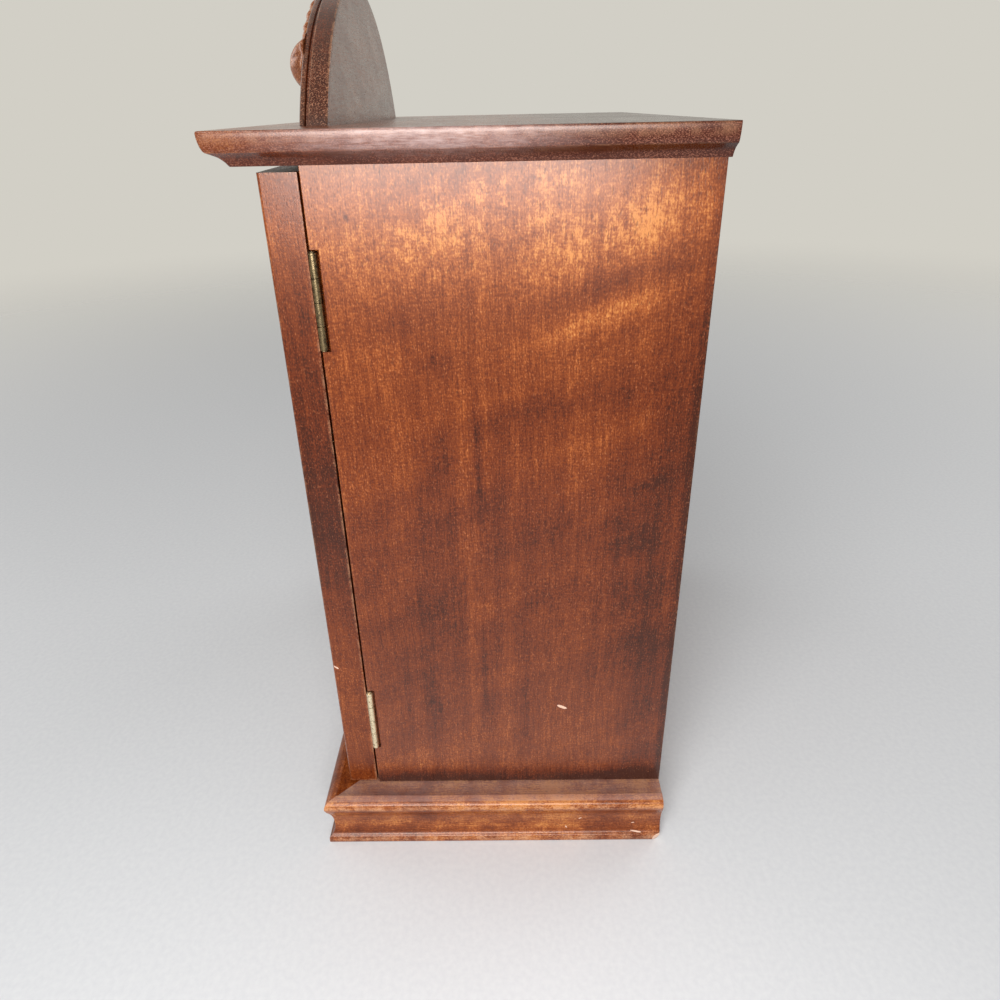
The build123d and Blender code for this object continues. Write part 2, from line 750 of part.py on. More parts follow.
with BuildPart() as door_catch:
    block(catch_x, (case_y, case_y + catch_depth), (top_under_z - catch_height, top_under_z))
save(door_catch.part, "door_catch")

strike_high_z = door_top_z - strike_margin

with BuildPart() as strike_plate:
    block((catch_mid_x - strike_width / 2, catch_mid_x + strike_width / 2),
          (door_back_y, door_back_y + strike_thickness), (strike_high_z - strike_height, strike_high_z))
save(strike_plate.part, "strike_plate")


# Shelf, dividers and the felt of the necklace compartment
board_half = inner_half + dado_depth

with BuildPart() as necklace_shelf:
    block((-board_half, board_half), (interior_y, inner_back_y), (shelf_z - shelf_thickness, shelf_z))
save(necklace_shelf.part, "necklace_shelf")

for number, floor in enumerate(floors_z[1:-1], start=1):
    with BuildPart() as divider:
        block((-board_half, board_half), (interior_y, inner_back_y), (floor - divider_thickness, floor))
    save(divider.part, f"drawer_divider_{number}")

with BuildPart() as shelf_felt:
    block((felt_clearance - inner_half, inner_half - felt_clearance),
          (interior_y + felt_clearance, inner_back_y - felt_clearance), (shelf_z, shelf_z + felt_thickness))
save(shelf_felt.part, "shelf_felt")


# Necklace rail with a row of cup hooks
hook_rail_high_z = top_under_z - hook_rail_drop
hook_rail_front_y = inner_back_y - hook_rail_thickness
hook_z = hook_rail_high_z - hook_rail_height / 2
hook_places = [(index - (hook_count - 1) / 2) * hook_spacing for index in range(hook_count)]

with BuildPart() as necklace_rail:
    block((-hook_rail_width / 2, hook_rail_width / 2), (hook_rail_front_y, inner_back_y),
          (hook_rail_high_z - hook_rail_height, hook_rail_high_z))
    for place_x in hook_places:
        round_bar(place_x, hook_z, hook_rail_front_y, hook_rail_front_y + hook_bite + hook_bore_clearance,
                  hook_wire_radius + hook_bore_clearance, Mode.SUBTRACT)
save(necklace_rail.part, "necklace_rail")

with BuildPart() as necklace_hooks:
    for place_x in hook_places:
        with BuildLine(Plane.YZ.offset(place_x)) as wire:
            Line((hook_rail_front_y + hook_bite, hook_z), (hook_rail_front_y - hook_reach, hook_z))
            drop_y = hook_rail_front_y - hook_reach - hook_bend
            JernArc(start=(hook_rail_front_y - hook_reach, hook_z), tangent=(-1, 0), radius=hook_bend,
                    arc_size=90)
            ThreePointArc((drop_y, hook_z - hook_bend), (drop_y - hook_cup, hook_z - hook_bend - hook_cup),
                          (drop_y - 2 * hook_cup, hook_z - hook_bend))
            Line((drop_y - 2 * hook_cup, hook_z - hook_bend),
                 (drop_y - 2 * hook_cup, hook_z - hook_bend + hook_tail))
        with BuildSketch(Plane(origin=wire.line @ 0, z_dir=wire.line % 0)):
            Circle(hook_wire_radius)
        sweep(path=wire.line)
save(necklace_hooks.part, "necklace_hooks")


# Drawers: a front, two sides, a back, a grooved-in bottom, felt and a knob each
drawer_half = inner_half - drawer_side_clearance
drawer_wall_in = drawer_half - drawer_wall_thickness
drawer_front_back_y = interior_y + drawer_front_thickness
drawer_back_y = inner_back_y - drawer_back_clearance
drawer_back_front_y = drawer_back_y - drawer_wall_thickness

for name, floor, height in zip(drawer_names, floors_z, drawer_heights):
    low_z = floor + drawer_runner_clearance
    wall_high_z = low_z + height - drawer_wall_drop
    bottom_z = (low_z + drawer_bottom_lift, low_z + drawer_bottom_lift + drawer_bottom_thickness)
    groove_half = drawer_wall_in + drawer_groove_depth
    groove_y = drawer_front_back_y - drawer_groove_depth
    drawer_knob_z = low_z + height / 2

    with BuildPart() as front:
        block((-drawer_half, drawer_half), (interior_y, drawer_front_back_y), (low_z, low_z + height))
        block((-groove_half, groove_half), (groove_y, drawer_front_back_y), bottom_z, Mode.SUBTRACT)
        round_bar(0, drawer_knob_z, interior_y,
                  interior_y + drawer_knob_spigot_length + drawer_knob_spigot_clearance,
                  drawer_knob_spigot_radius + drawer_knob_spigot_clearance, Mode.SUBTRACT)
    save(front.part, f"{name}_front")

    with BuildPart() as wall:
        block((drawer_wall_in, drawer_half), (drawer_front_back_y, drawer_back_y), (low_z, wall_high_z))
        block((drawer_wall_in, groove_half), (drawer_front_back_y, drawer_back_y), bottom_z, Mode.SUBTRACT)
    save(wall.part, f"{name}_side_right")
    with BuildPart() as left_wall:
        mirror(wall.part, about=Plane.YZ)
    save(left_wall.part, f"{name}_side_left")

    with BuildPart() as rear:
        block((-drawer_wall_in, drawer_wall_in), (drawer_back_front_y, drawer_back_y),
              (bottom_z[1], wall_high_z))
    save(rear.part, f"{name}_back")

    with BuildPart() as bottom:
        block((-groove_half, groove_half), (groove_y, drawer_back_y), bottom_z)
    save(bottom.part, f"{name}_bottom")

    felt_half = drawer_wall_in - felt_clearance
    felt_high_z = bottom_z[1] + felt_thickness
    with BuildPart() as felt:
        block((-felt_half, felt_half),
              (drawer_front_back_y + felt_clearance, drawer_back_front_y - felt_clearance),
              (bottom_z[1], felt_high_z))
    save(felt.part, f"{name}_felt")

    with BuildPart() as knob:
        turned_knob((0, interior_y, drawer_knob_z), drawer_knob_foot_radius, drawer_knob_foot_length,
                    drawer_knob_neck_radius, drawer_knob_radius, drawer_knob_under, drawer_knob_crown,
                    drawer_knob_length)
        round_bar(0, drawer_knob_z, interior_y, interior_y + drawer_knob_spigot_length,
                  drawer_knob_spigot_radius)
    save(knob.part, f"{name}_knob")

# Ring cushion: lies on the felt in the right half of the upper drawer
with BuildPart() as ring_cushion:
    block((felt_half - ring_cushion_width, felt_half),
          (drawer_front_back_y + felt_clearance, drawer_back_front_y - felt_clearance),
          (felt_high_z, felt_high_z + ring_cushion_height))
    fillet(ring_cushion.edges().group_by(Axis.Z)[-1], ring_cushion_radius)
save(ring_cushion.part, "ring_cushion")
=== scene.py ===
"""Finish of the jewellery cabinet: milled and lacquered wood, carving, brass, glass and velvet.

Lengths that a maker would read off a rule are in millimetres and are turned to metres by MM.
The front faces -Y, the hinges are on the +X side, and the origin is on the table under the middle.
"""

import json
import math

import bmesh
import bpy
import numpy as np
from mathutils import Matrix, Vector


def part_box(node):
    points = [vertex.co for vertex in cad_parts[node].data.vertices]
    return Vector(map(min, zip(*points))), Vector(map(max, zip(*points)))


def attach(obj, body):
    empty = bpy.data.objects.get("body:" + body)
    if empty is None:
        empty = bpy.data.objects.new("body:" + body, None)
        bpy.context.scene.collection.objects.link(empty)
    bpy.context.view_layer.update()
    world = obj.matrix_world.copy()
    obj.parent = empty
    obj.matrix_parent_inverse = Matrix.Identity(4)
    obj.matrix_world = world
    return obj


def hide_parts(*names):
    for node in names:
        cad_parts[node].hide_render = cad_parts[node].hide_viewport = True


MM = 0.001

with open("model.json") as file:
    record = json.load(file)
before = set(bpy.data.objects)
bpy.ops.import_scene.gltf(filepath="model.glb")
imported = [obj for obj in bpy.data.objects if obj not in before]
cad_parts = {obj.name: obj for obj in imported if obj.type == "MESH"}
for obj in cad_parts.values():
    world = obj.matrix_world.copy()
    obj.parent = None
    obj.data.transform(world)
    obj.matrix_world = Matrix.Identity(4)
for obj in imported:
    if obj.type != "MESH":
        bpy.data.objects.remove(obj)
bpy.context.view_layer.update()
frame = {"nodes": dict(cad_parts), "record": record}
nodes = frame["nodes"]
body_of = {node: body for body, members in frame["record"]["behaviour"]["bodies"].items() for node in members}
DRAWERS = ("lower_drawer", "middle_drawer", "upper_drawer")


def placed(name, data):
    """A new object at the origin for a mesh, a lamp or the camera."""
    item = bpy.data.objects.new(name, data)
    bpy.context.scene.collection.objects.link(item)
    return item


def side_view_camera():
    """The photograph's camera: level with the top of the cabinet, looking down at its right side."""
    place = Vector((357.9, 10.6, 298.7)) * MM
    turn, down, tilt = 0.015, 0.485, -0.021
    level = Vector((-math.cos(turn), -math.sin(turn), 0))
    aside = Vector((-math.sin(turn), math.cos(turn), 0))
    upright = Vector((0, 0, 1))
    ahead = level * math.cos(down) - upright * math.sin(down)
    over = upright * math.cos(down) + level * math.sin(down)
    right = aside * math.cos(tilt) + over * math.sin(tilt)
    up = over * math.cos(tilt) - aside * math.sin(tilt)
    data = bpy.data.cameras.new("camera")
    data.sensor_width = 36.0
    data.lens = 27.0
    data.clip_start = 0.01
    camera = placed("camera", data)
    camera.matrix_world = Matrix.Translation(place) @ Matrix((right, up, -ahead)).transposed().to_4x4()
    bpy.context.scene.camera = camera


# Shader building
def linear(code):
    """Turn an sRGB hex code to a linear colour with full alpha."""
    channels = [int(code[i:i + 2], 16) / 255 for i in (1, 3, 5)]
    return tuple(c / 12.92 if c <= 0.04045 else ((c + 0.055) / 1.055) ** 2.4 for c in channels) + (1.0,)


def add(tree, kind, sockets=None, stops=None, **properties):
    """Add one node, set its properties and colour stops, and fill its sockets.

    A socket takes a number, a vector, an sRGB hex code, a link, or a node for its first output.
    """
    node = tree.nodes.new("ShaderNode" + kind)
    for key, value in properties.items():
        setattr(node, key, value)
    for key, value in (sockets or {}).items():
        source = value.outputs[0] if isinstance(value, bpy.types.Node) else value
        if isinstance(source, bpy.types.NodeSocket):
            tree.links.new(source, node.inputs[key])
        else:
            node.inputs[key].default_value = linear(source) if isinstance(source, str) else source
    if stops:
        while len(node.color_ramp.elements) < len(stops):
            node.color_ramp.elements.new(0.5)
        for element, (position, code) in zip(node.color_ramp.elements, stops):
            element.position = position
            element.color = linear(code)
    return node


def new_finish(name):
    """A material with an empty shader tree, the tree, and its Object coordinates."""
    material = bpy.data.materials.new(name)
    material.use_nodes = True
    material.node_tree.nodes.clear()
    return material, material.node_tree, add(material.node_tree, "TexCoord").outputs["Object"]


def finished(material, shader):
    """The material with a shader as its surface."""
    add(material.node_tree, "OutputMaterial", {"Surface": shader})
    return material


def total_of(tree, first, *others):
    """Sum of numbers and patterns."""
    for other in others:
        first = add(tree, "Math", {0: first, 1: other}, operation="ADD")
    return first


def product_of(tree, first, *others):
    """Product of numbers and patterns."""
    for other in others:
        first = add(tree, "Math", {0: first, 1: other}, operation="MULTIPLY")
    return first


def weighted(tree, start, parts):
    """start plus each pattern's distance from its middle value times its weight."""
    return total_of(tree, start, *(add(tree, "Math", {0: pattern, 1: weight, 2: -0.5 * weight},
                                       operation="MULTIPLY_ADD") for pattern, weight in parts))


def grain_noise(tree, place, across, along=None, detail=2.0, roughness=0.5):
    """Noise whose cells are across wide and along long, in millimetres, with its length on the local Z.

    Without a length the cells are as long as they are wide.
    """
    width, length = 1 / across / MM, 1 / (along or across) / MM
    sized = add(tree, "Mapping", {"Vector": place, "Scale": (width, width, length)})
    return add(tree, "TexNoise", {"Vector": sized, "Scale": 1.0, "Detail": detail, "Roughness": roughness})


def within(tree, value, low, high):
    """0 below low, 1 above high, and a smooth step between."""
    return add(tree, "MapRange", {"Value": value, "From Min": low, "From Max": high},
               interpolation_type="SMOOTHSTEP")


def fading(tree, value, start, end, strength, falloff="SMOOTHSTEP"):
    """strength up to start, then less and less until it is 0 at end."""
    return add(tree, "MapRange", {"Value": value, "From Min": start, "From Max": end, "To Min": strength,
                                  "To Max": 0.0}, interpolation_type=falloff)


def beside(tree, axis, edge, reach, strength, falloff="SMOOTHSTEP"):
    """strength at an edge, and 0 where the axis is further from it than reach, in millimetres."""
    off = add(tree, "Math", {0: axis, 1: edge}, operation="SUBTRACT")
    away = add(tree, "Math", {0: off}, operation="ABSOLUTE")
    return fading(tree, away, 0.0, reach * MM, strength, falloff)


def blended(tree, share, first, second):
    """The first colour with a share of the second laid over it."""
    return add(tree, "Mix", {0: share, 6: first, 7: second}, data_type="RGBA").outputs[2]


def figure(tree, place, centre, reach, lean, strength):
    """A soft ellipsoid mark: strength at its centre, and 0 at its reach along its own three axes.

    lean turns it about X, in degrees, so that its second axis rises towards the back.
    """
    moved = add(tree, "Mapping", {"Vector": place, "Location": tuple(c * MM for c in centre),
                                  "Rotation": (math.radians(lean), 0, 0),
                                  "Scale": tuple(r * MM for r in reach)}, vector_type="TEXTURE")
    distance = add(tree, "VectorMath", {0: moved}, operation="LENGTH").outputs["Value"]
    return fading(tree, distance, 0.0, 1.0, strength)


def arris_wear(tree, place, low, high):
    """1 on the arrises of a board between two corners, fading to 0 at 1 mm into its faces.

    Of a place's three depths below the board's faces, an arris has two near 0, so the middle one counts.
    """
    middle = add(tree, "VectorMath", {0: place, 1: tuple((low + high) / 2)}, operation="SUBTRACT")
    folded = add(tree, "VectorMath", {0: middle}, operation="ABSOLUTE")
    depth = add(tree, "VectorMath", {0: tuple((high - low) / 2), 1: folded}, operation="SUBTRACT")
    x, y, z = add(tree, "SeparateXYZ", {0: depth}).outputs
    less = add(tree, "Math", {0: x, 1: y}, operation="MINIMUM")
    more = add(tree, "Math", {0: x, 1: y}, operation="MAXIMUM")
    capped = add(tree, "Math", {0: more, 1: z}, operation="MINIMUM")
    second = add(tree, "Math", {0: less, 1: capped}, operation="MAXIMUM")
    return fading(tree, second, 0.0, 1.0 * MM, 1.0, "LINEAR")


# Wood
# For each direction of the grain: the turn that lays it on the pattern's Z, and its axis
GRAIN = {"X": ((0, -math.pi / 2, 0), (1, 0, 0)), "Y": ((math.pi / 2, 0, 0), (0, 1, 0)),
         "Z": ((0, 0, 0), (0, 0, 1))}
# Pale veil laid over the wood's colour: painted reflection and highlight on the lacquer.
PAINTED_VEIL = "#b79f9b"
CHIPPED_WOOD = "#d8b39c"

# Mahogany, wiped with red-brown stain and sprayed with satin lacquer. Its fibres throw back a warm gloss
# under the lacquer. The lacquer fills the pores only partly, so they stay dark and break up the gloss.
# Real pores are 0.1 to 0.2 mm wide. They are drawn 0.4 to 0.5 mm wide so that they show.
MAHOGANY = {
    "stops": ((0.08, "#320f03"), (0.3, "#582108"), (0.5, "#6f310f"), (0.7, "#914b1f"), (0.92, "#bd783c")),
    "pore": "#421909", "fleck": "#c08660", "bare": "#cf9a74", "end": "#30120b", "stipple": "#b98264",
    "roughness": 0.4, "tint": "#f0a878", "level": 0.2, "coat": 0.56, "coat_roughness": 0.25, "wear": 0.42,
}
# The same wood inside the drawers, with a thin clear sealer: paler and duller.
SEALED_WOOD = {
    "stops": ((0.1, "#7a4a2a"), (0.32, "#a06a3f"), (0.5, "#b98252"), (0.68, "#cc9968"), (0.9, "#ddb184")),
    "pore": "#6a4024", "fleck": "#e2bd92", "bare": "#dcb587", "end": "#8a5a34", "stipple": "#d3a577",
    "roughness": 0.52, "tint": "#ffe6cc", "level": 0.4, "coat": 0.0, "coat_roughness": 0.4, "wear": 0.2,
}
# Thin plywood, brushed with what was left of the stain: matt, and darker in its open grain.
STAINED_PLY = {
    "stops": ((0.1, "#3d2010"), (0.32, "#5d3520"), (0.5, "#744731"), (0.68, "#85573e"), (0.9, "#9c6f52")),
    "pore": "#2b170d", "fleck": "#94694c", "bare": "#a9805c", "end": "#4a2c1b", "stipple": "#8d6346",
    "roughness": 0.62, "tint": "#ffe6cc", "level": 0.3, "coat": 0.0, "coat_roughness": 0.5, "wear": 0.3,
}


def stained_board(node, wood, grain, seed, rubbed=False, mottle_turn=(0.5, 0.0, 0.0), tone=0.0, marks=None,
                  chips=(), veil=None):
    """Finish of one board: its own cut of the wood, with the grain along an axis of the cabinet.

    The board's arrises are worn by their place. On a rubbed one, the piece's own rub attribute says how
    much the lacquer has gone. The last argument is a mask of where a pale veil is painted over the colour,
    standing for reflection and highlight on the lacquer.
    """
    material, tree, coordinates = new_finish(f"{node}_wood")
    grain_turn, grain_axis = GRAIN[grain]
    shift = tuple(seed * step for step in (0.173, 0.291, 0.457))
    laid = add(tree, "Mapping", {"Vector": coordinates, "Rotation": grain_turn, "Location": shift})
    # Slow wander of the grain, up to 1.5 mm to the side over 90 mm
    drift = add(tree, "TexNoise", {"Vector": laid, "Scale": 11.0, "Detail": 1.0}).outputs["Color"]
    offset = add(tree, "VectorMath", {0: drift, 1: (0.5, 0.5, 0.5)}, operation="SUBTRACT")
    wandered = add(tree, "VectorMath", {0: offset, 1: (6 * MM, 6 * MM, 0), 2: laid}, operation="MULTIPLY_ADD")

    wide = grain_noise(tree, wandered, 8.0, 170.0)
    streak = grain_noise(tree, wandered, 1.7, 60.0)
    fibre = grain_noise(tree, wandered, 0.6, 9.0, detail=1.0)
    cell = grain_noise(tree, wandered, 0.45, 0.8, detail=1.0)
    ripple = grain_noise(tree, wandered, 2.4, 0.55, detail=0.0)
    pore = grain_noise(tree, wandered, 0.4, 1.9, detail=0.0)
    # Mottle where the fibres lean: patches 11 mm high and 34 mm long at a slant to the grain
    slanted = add(tree, "Mapping", {"Vector": coordinates, "Rotation": mottle_turn, "Location": shift})
    mottle = grain_noise(tree, slanted, 34.0, 11.0, detail=3.0)
    cloud = add(tree, "TexNoise", {"Vector": slanted, "Scale": 15.0, "Detail": 1.0})

    depth = weighted(tree, 0.5 + tone, [(wide, 0.36), (streak, 0.23), (fibre, 0.38), (cell, 0.62),
                                        (ripple, 0.2), (mottle, 0.38), (cloud, 0.24)])
    if marks:
        depth = total_of(tree, depth, marks(tree, coordinates))
    colour = add(tree, "ValToRGB", {"Fac": depth}, stops=wood["stops"])
    open_pore = within(tree, pore, 0.65, 0.78)
    colour = blended(tree, product_of(tree, open_pore, 0.5), colour, wood["pore"])
    colour = blended(tree, product_of(tree, within(tree, cell, 0.62, 0.8), 0.22), colour, wood["fleck"])

    # End grain takes the stain darker and shows the cut fibres as pale stipple
    normal = add(tree, "TexCoord").outputs["Normal"]
    facing = add(tree, "VectorMath", {0: normal, 1: grain_axis}, operation="DOT_PRODUCT").outputs["Value"]
    cut_across = within(tree, add(tree, "Math", {0: facing}, operation="ABSOLUTE"), 0.5, 0.82)
    stipple_size = add(tree, "Mapping", {"Vector": wandered, "Rotation": (0, 0, 0.6),
                                         "Scale": (1 / 0.21 / MM, 1 / 0.45 / MM, 1 / 1.2 / MM)})
    stipple = add(tree, "TexNoise", {"Vector": stipple_size, "Scale": 1.0, "Detail": 0.0})
    spots = within(tree, weighted(tree, stipple, [(mottle, 0.3)]), 0.56, 0.7)
    end_dark = blended(tree, 0.6, colour, wood["end"])
    end_colour = blended(tree, product_of(tree, spots, 0.6), end_dark, wood["stipple"])
    colour = blended(tree, cut_across, colour, end_colour)

    patchy = grain_noise(tree, coordinates, 4.167, detail=3.0)
    if rubbed:
        worn = add(tree, "Attribute", attribute_name="rub").outputs["Fac"]
    else:
        worn = arris_wear(tree, coordinates, *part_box(node))
    thin = within(tree, weighted(tree, patchy, [(cell, 0.6)]), 0.34, 0.72)
    colour = blended(tree, product_of(tree, worn, thin, wood["wear"]), colour, wood["bare"])
    # Painted reflection and highlight: a pale veil over the colour where the mask says.
    if veil:
        veiled = product_of(tree, veil(tree, coordinates), weighted(tree, 0.8, [(patchy, 0.8)]))
        colour = blended(tree, veiled, colour, PAINTED_VEIL)
    height = weighted(tree, 0.5, [(open_pore, -0.9), (fibre, 0.5), (cell, 0.5), (streak, 0.3), (spots, 0.25)])
    for centre, reach, lean in chips:
        ragged = grain_noise(tree, coordinates, 0.909)
        dent = weighted(tree, figure(tree, coordinates, centre, reach, lean, 1.0), [(ragged, 0.5)])
        chipped = within(tree, dent, 0.3, 0.4)
        colour = blended(tree, chipped, colour, CHIPPED_WOOD)
        height = total_of(tree, height, product_of(tree, chipped, -3.0))

    dull = weighted(tree, wood["roughness"], [(open_pore, 0.2), (fibre, 0.25), (patchy, 0.15),
                                              (mottle, -0.25)])
    shader = add(tree, "BsdfPrincipled", {
        "Base Color": colour, "Roughness": dull, "IOR": 1.5,
        "Normal": add(tree, "Bump", {"Height": height, "Strength": 0.5, "Distance": 0.06 * MM}),
        "Specular IOR Level": wood["level"], "Specular Tint": wood["tint"],
        "Coat Weight": wood["coat"], "Coat Roughness": wood["coat_roughness"],
        "Coat Normal": add(tree, "Bump", {"Height": height, "Strength": 0.2, "Distance": 0.03 * MM})})
    return finished(material, shader)


# Other finishes
def brass(name, metal, tarnish, share, roughness):
    """Brass: yellow metal, and brown-green tarnish that covers a share of it and dulls it."""
    material, tree, coordinates = new_finish(name)
    patch = grain_noise(tree, coordinates, 1.111, detail=3.0, roughness=0.6)
    speck = grain_noise(tree, coordinates, 0.3125, detail=1.0)
    cover = within(tree, weighted(tree, patch, [(speck, 0.5)]), 0.62 - share * 0.5, 0.94 - share * 0.5)
    dull = total_of(tree, product_of(tree, cover, 0.28), roughness)
    bump = add(tree, "Bump", {"Height": weighted(tree, speck, [(patch, 0.5)]), "Strength": 0.35,
                              "Distance": 0.04 * MM})
    shader = add(tree, "BsdfPrincipled", {"Base Color": blended(tree, cover, metal, tarnish), "Metallic": 1.0,
                                          "Roughness": dull, "Normal": bump})
    return finished(material, shader)


def zinc_plate(name):
    """Zinc-plated steel: grey and faintly blue, with fine rolling marks 0.25 mm wide and 9 mm long."""
    material, tree, coordinates = new_finish(name)
    rolled = grain_noise(tree, coordinates, 0.25, 9.0)
    colour = add(tree, "ValToRGB", {"Fac": rolled}, stops=((0.3, "#8d9196"), (0.7, "#c2c6ca")))
    shader = add(tree, "BsdfPrincipled", {"Base Color": colour, "Metallic": 1.0,
                                          "Roughness": weighted(tree, 0.34, [(rolled, 0.3)])})
    return finished(material, shader)


def moulded_plastic(name):
    """Brown ABS with the fine spark texture of its mould, 0.35 mm from pit to pit."""
    material, tree, coordinates = new_finish(name)
    spark = grain_noise(tree, coordinates, 0.345)
    colour = add(tree, "ValToRGB", {"Fac": spark}, stops=((0.3, "#2a170f"), (0.7, "#3b2418")))
    bump = add(tree, "Bump", {"Height": spark, "Strength": 0.3, "Distance": 0.03 * MM})
    shader = add(tree, "BsdfPrincipled", {"Base Color": colour, "Roughness": 0.45, "Normal": bump,
                                          "IOR": 1.53})
    return finished(material, shader)


def velvet(name, pile, shade, seed):
    """Flocked velvet: a short pile that darkens where a finger brushed it and glows at grazing angles.

    Flock fibres are 0.02 mm thick. Their tufts are drawn 0.5 mm wide so that they show. The strokes of the
    finger are 28 mm long and 13 mm wide.
    """
    material, tree, coordinates = new_finish(name)
    moved = add(tree, "Mapping", {"Vector": coordinates, "Location": (seed * 0.31, seed * 0.17, 0),
                                  "Rotation": (0, 0, 0.4 * seed), "Scale": (1.0, 2.2, 1.0)})
    brushed = add(tree, "TexNoise", {"Vector": moved, "Scale": 36.0, "Detail": 3.0, "Distortion": 0.8})
    tuft = grain_noise(tree, coordinates, 0.5, detail=1.0)
    level = weighted(tree, 0.5, [(brushed, 1.5), (tuft, 1.1)])
    colour = add(tree, "ValToRGB", {"Fac": level}, stops=((0.1, shade), (0.9, pile)))
    bump = add(tree, "Bump", {"Height": tuft, "Strength": 0.8, "Distance": 0.2 * MM})
    shader = add(tree, "BsdfPrincipled", {
        "Base Color": colour, "Roughness": 0.95, "Normal": bump, "Specular IOR Level": 0.1,
        "Sheen Weight": 0.5, "Sheen Roughness": 0.35, "Sheen Tint": "#e0788c"})
    return finished(material, shader)


def float_glass(name):
    """Clear float glass. A shadow ray passes it, as daylight does through a thin pane."""
    material, tree, coordinates = new_finish(name)
    wave = grain_noise(tree, coordinates, 71.43, detail=1.0)
    bump = add(tree, "Bump", {"Height": wave, "Strength": 0.05, "Distance": 0.2 * MM})
    glass = add(tree, "BsdfPrincipled", {"Base Color": "#f4faf7", "Roughness": 0.02, "IOR": 1.5,
                                         "Transmission Weight": 1.0, "Normal": bump})
    clear = add(tree, "BsdfTransparent", {"Color": "#eef6f2"})
    shadow = add(tree, "LightPath").outputs["Is Shadow Ray"]
    return finished(material, add(tree, "MixShader", {0: shadow, 1: glass, 2: clear}))


# Mesh building
def curve(points, steps):
    """Smooth line through points: on each stretch a cubic whose slopes are half its neighbours' chord."""
    knots = np.asarray(points, float)
    knots = np.vstack([2 * knots[0] - knots[1], knots, 2 * knots[-1] - knots[-2]])
    t = np.linspace(0, 1, steps, endpoint=False)[:, None, None]
    before, start, end, after = knots[:-3], knots[1:-2], knots[2:-1], knots[3:]
    line = 0.5 * (2 * start + (end - before) * t + (2 * before - 5 * start + 4 * end - after) * t**2
                  + (3 * start - before - 3 * end + after) * t**3)
    return np.vstack([line.transpose(1, 0, 2).reshape(-1, knots.shape[1]), knots[-2:-1]])


def full_turn(count):
    """Even angles once round, as a row."""
    return np.linspace(0, 2 * math.pi, count, endpoint=False)[None, :]


def surface(name, places, caps=(True, True), wrap=True, rub=None, crease=38.0):
    """Closed skin over a grid: quads between neighbours and a flat cap on each end.

    places are the X, Y and Z of the grid in millimetres, by row and column. wrap joins the last column to
    the first. Without it, one flat face closes the skin between the two. rub, 0 to 1 for each place, is
    where the lacquer has gone. Faces that meet at more than crease, in degrees, show a sharp edge.
    """
    grid = np.stack(np.broadcast_arrays(*places), axis=-1)
    rows, columns, _ = grid.shape
    row, column = np.meshgrid(np.arange(rows - 1), np.arange(columns if wrap else columns - 1), indexing="ij")
    after = (column + 1) % columns
    corners = np.stack([row * columns + column, row * columns + after, (row + 1) * columns + after,
                        (row + 1) * columns + column], axis=-1)
    faces = corners.reshape(-1, 4).tolist()
    ends = (list(range(columns))[::-1], list(range((rows - 1) * columns, rows * columns)))
    faces += [end for end, capped in zip(ends, caps) if capped]
    if not wrap:
        sides = np.arange(rows) * columns
        faces.append(sides.tolist() + (sides[::-1] + columns - 1).tolist())
    mesh = bpy.data.meshes.new(name)
    mesh.from_pydata((grid.reshape(-1, 3) * MM).tolist(), [], faces)
    if rub is not None:
        worn = mesh.attributes.new("rub", "FLOAT", "POINT")
        worn.data.foreach_set("value", np.broadcast_to(rub, (rows, columns)).astype(np.float32).ravel())
    skin = bmesh.new()
    skin.from_mesh(mesh)
    bmesh.ops.remove_doubles(skin, verts=skin.verts, dist=2e-6)
    bmesh.ops.dissolve_degenerate(skin, edges=skin.edges, dist=1e-7)
    bmesh.ops.recalc_face_normals(skin, faces=skin.faces)
    skin.to_mesh(mesh)
    skin.free()
    mesh.shade_smooth()
    mesh.set_sharp_from_angle(angle=math.radians(crease))
    return placed(name, mesh)


def mesh_of(name, skin):
    """A new mesh of an edited skin, which ends with that."""
    mesh = bpy.data.meshes.new(name)
    skin.to_mesh(mesh)
    skin.free()
    return mesh


def joined(name, pieces):
    """One object that holds the meshes of several."""
    skin = bmesh.new()
    for piece in pieces:
        skin.from_mesh(piece.data)
        bpy.data.objects.remove(piece)
    return placed(name, mesh_of(name, skin))


def softened(node, arris, shortest=3.0, segments=3):
    """A merged copy of a CAD node with its long outer arrises rounded to a radius in millimetres.

    Weighted normals keep the wide faces flat beside the roundings.
    """
    skin = bmesh.new()
    skin.from_mesh(nodes[node].data)
    bmesh.ops.remove_doubles(skin, verts=skin.verts, dist=1e-6)
    bmesh.ops.dissolve_limit(skin, angle_limit=math.radians(0.5), verts=skin.verts, edges=skin.edges)
    sharp = [edge for edge in skin.edges if len(edge.link_faces) == 2 and edge.is_convex
             and edge.calc_face_angle() > math.radians(28) and edge.calc_length() > shortest * MM]
    bmesh.ops.bevel(skin, geom=sharp, offset=arris * MM, segments=segments, profile=0.5,
                    affect="EDGES", clamp_overlap=True)
    mesh = mesh_of(f"{node}_shown", skin)
    mesh.materials.clear()
    mesh.shade_smooth()
    mesh.set_sharp_from_angle(angle=math.radians(35))
    piece = placed(f"{node}_shown", mesh)
    piece.modifiers.new("flats", "WEIGHTED_NORMAL").keep_sharp = True
    return piece


def fit(piece, finish):
    """Give a piece its finish and let it stand for the CAD node that it is named after, on its body."""
    node = piece.name.removesuffix("_shown")
    piece.data.materials.clear()
    piece.data.materials.append(finish)
    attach(piece, body_of[node])
    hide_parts(node)


def box_of(node):
    """Lowest and highest corner of a CAD node as arrays, in millimetres."""
    low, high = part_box(node)
    return np.array(low) / MM, np.array(high) / MM
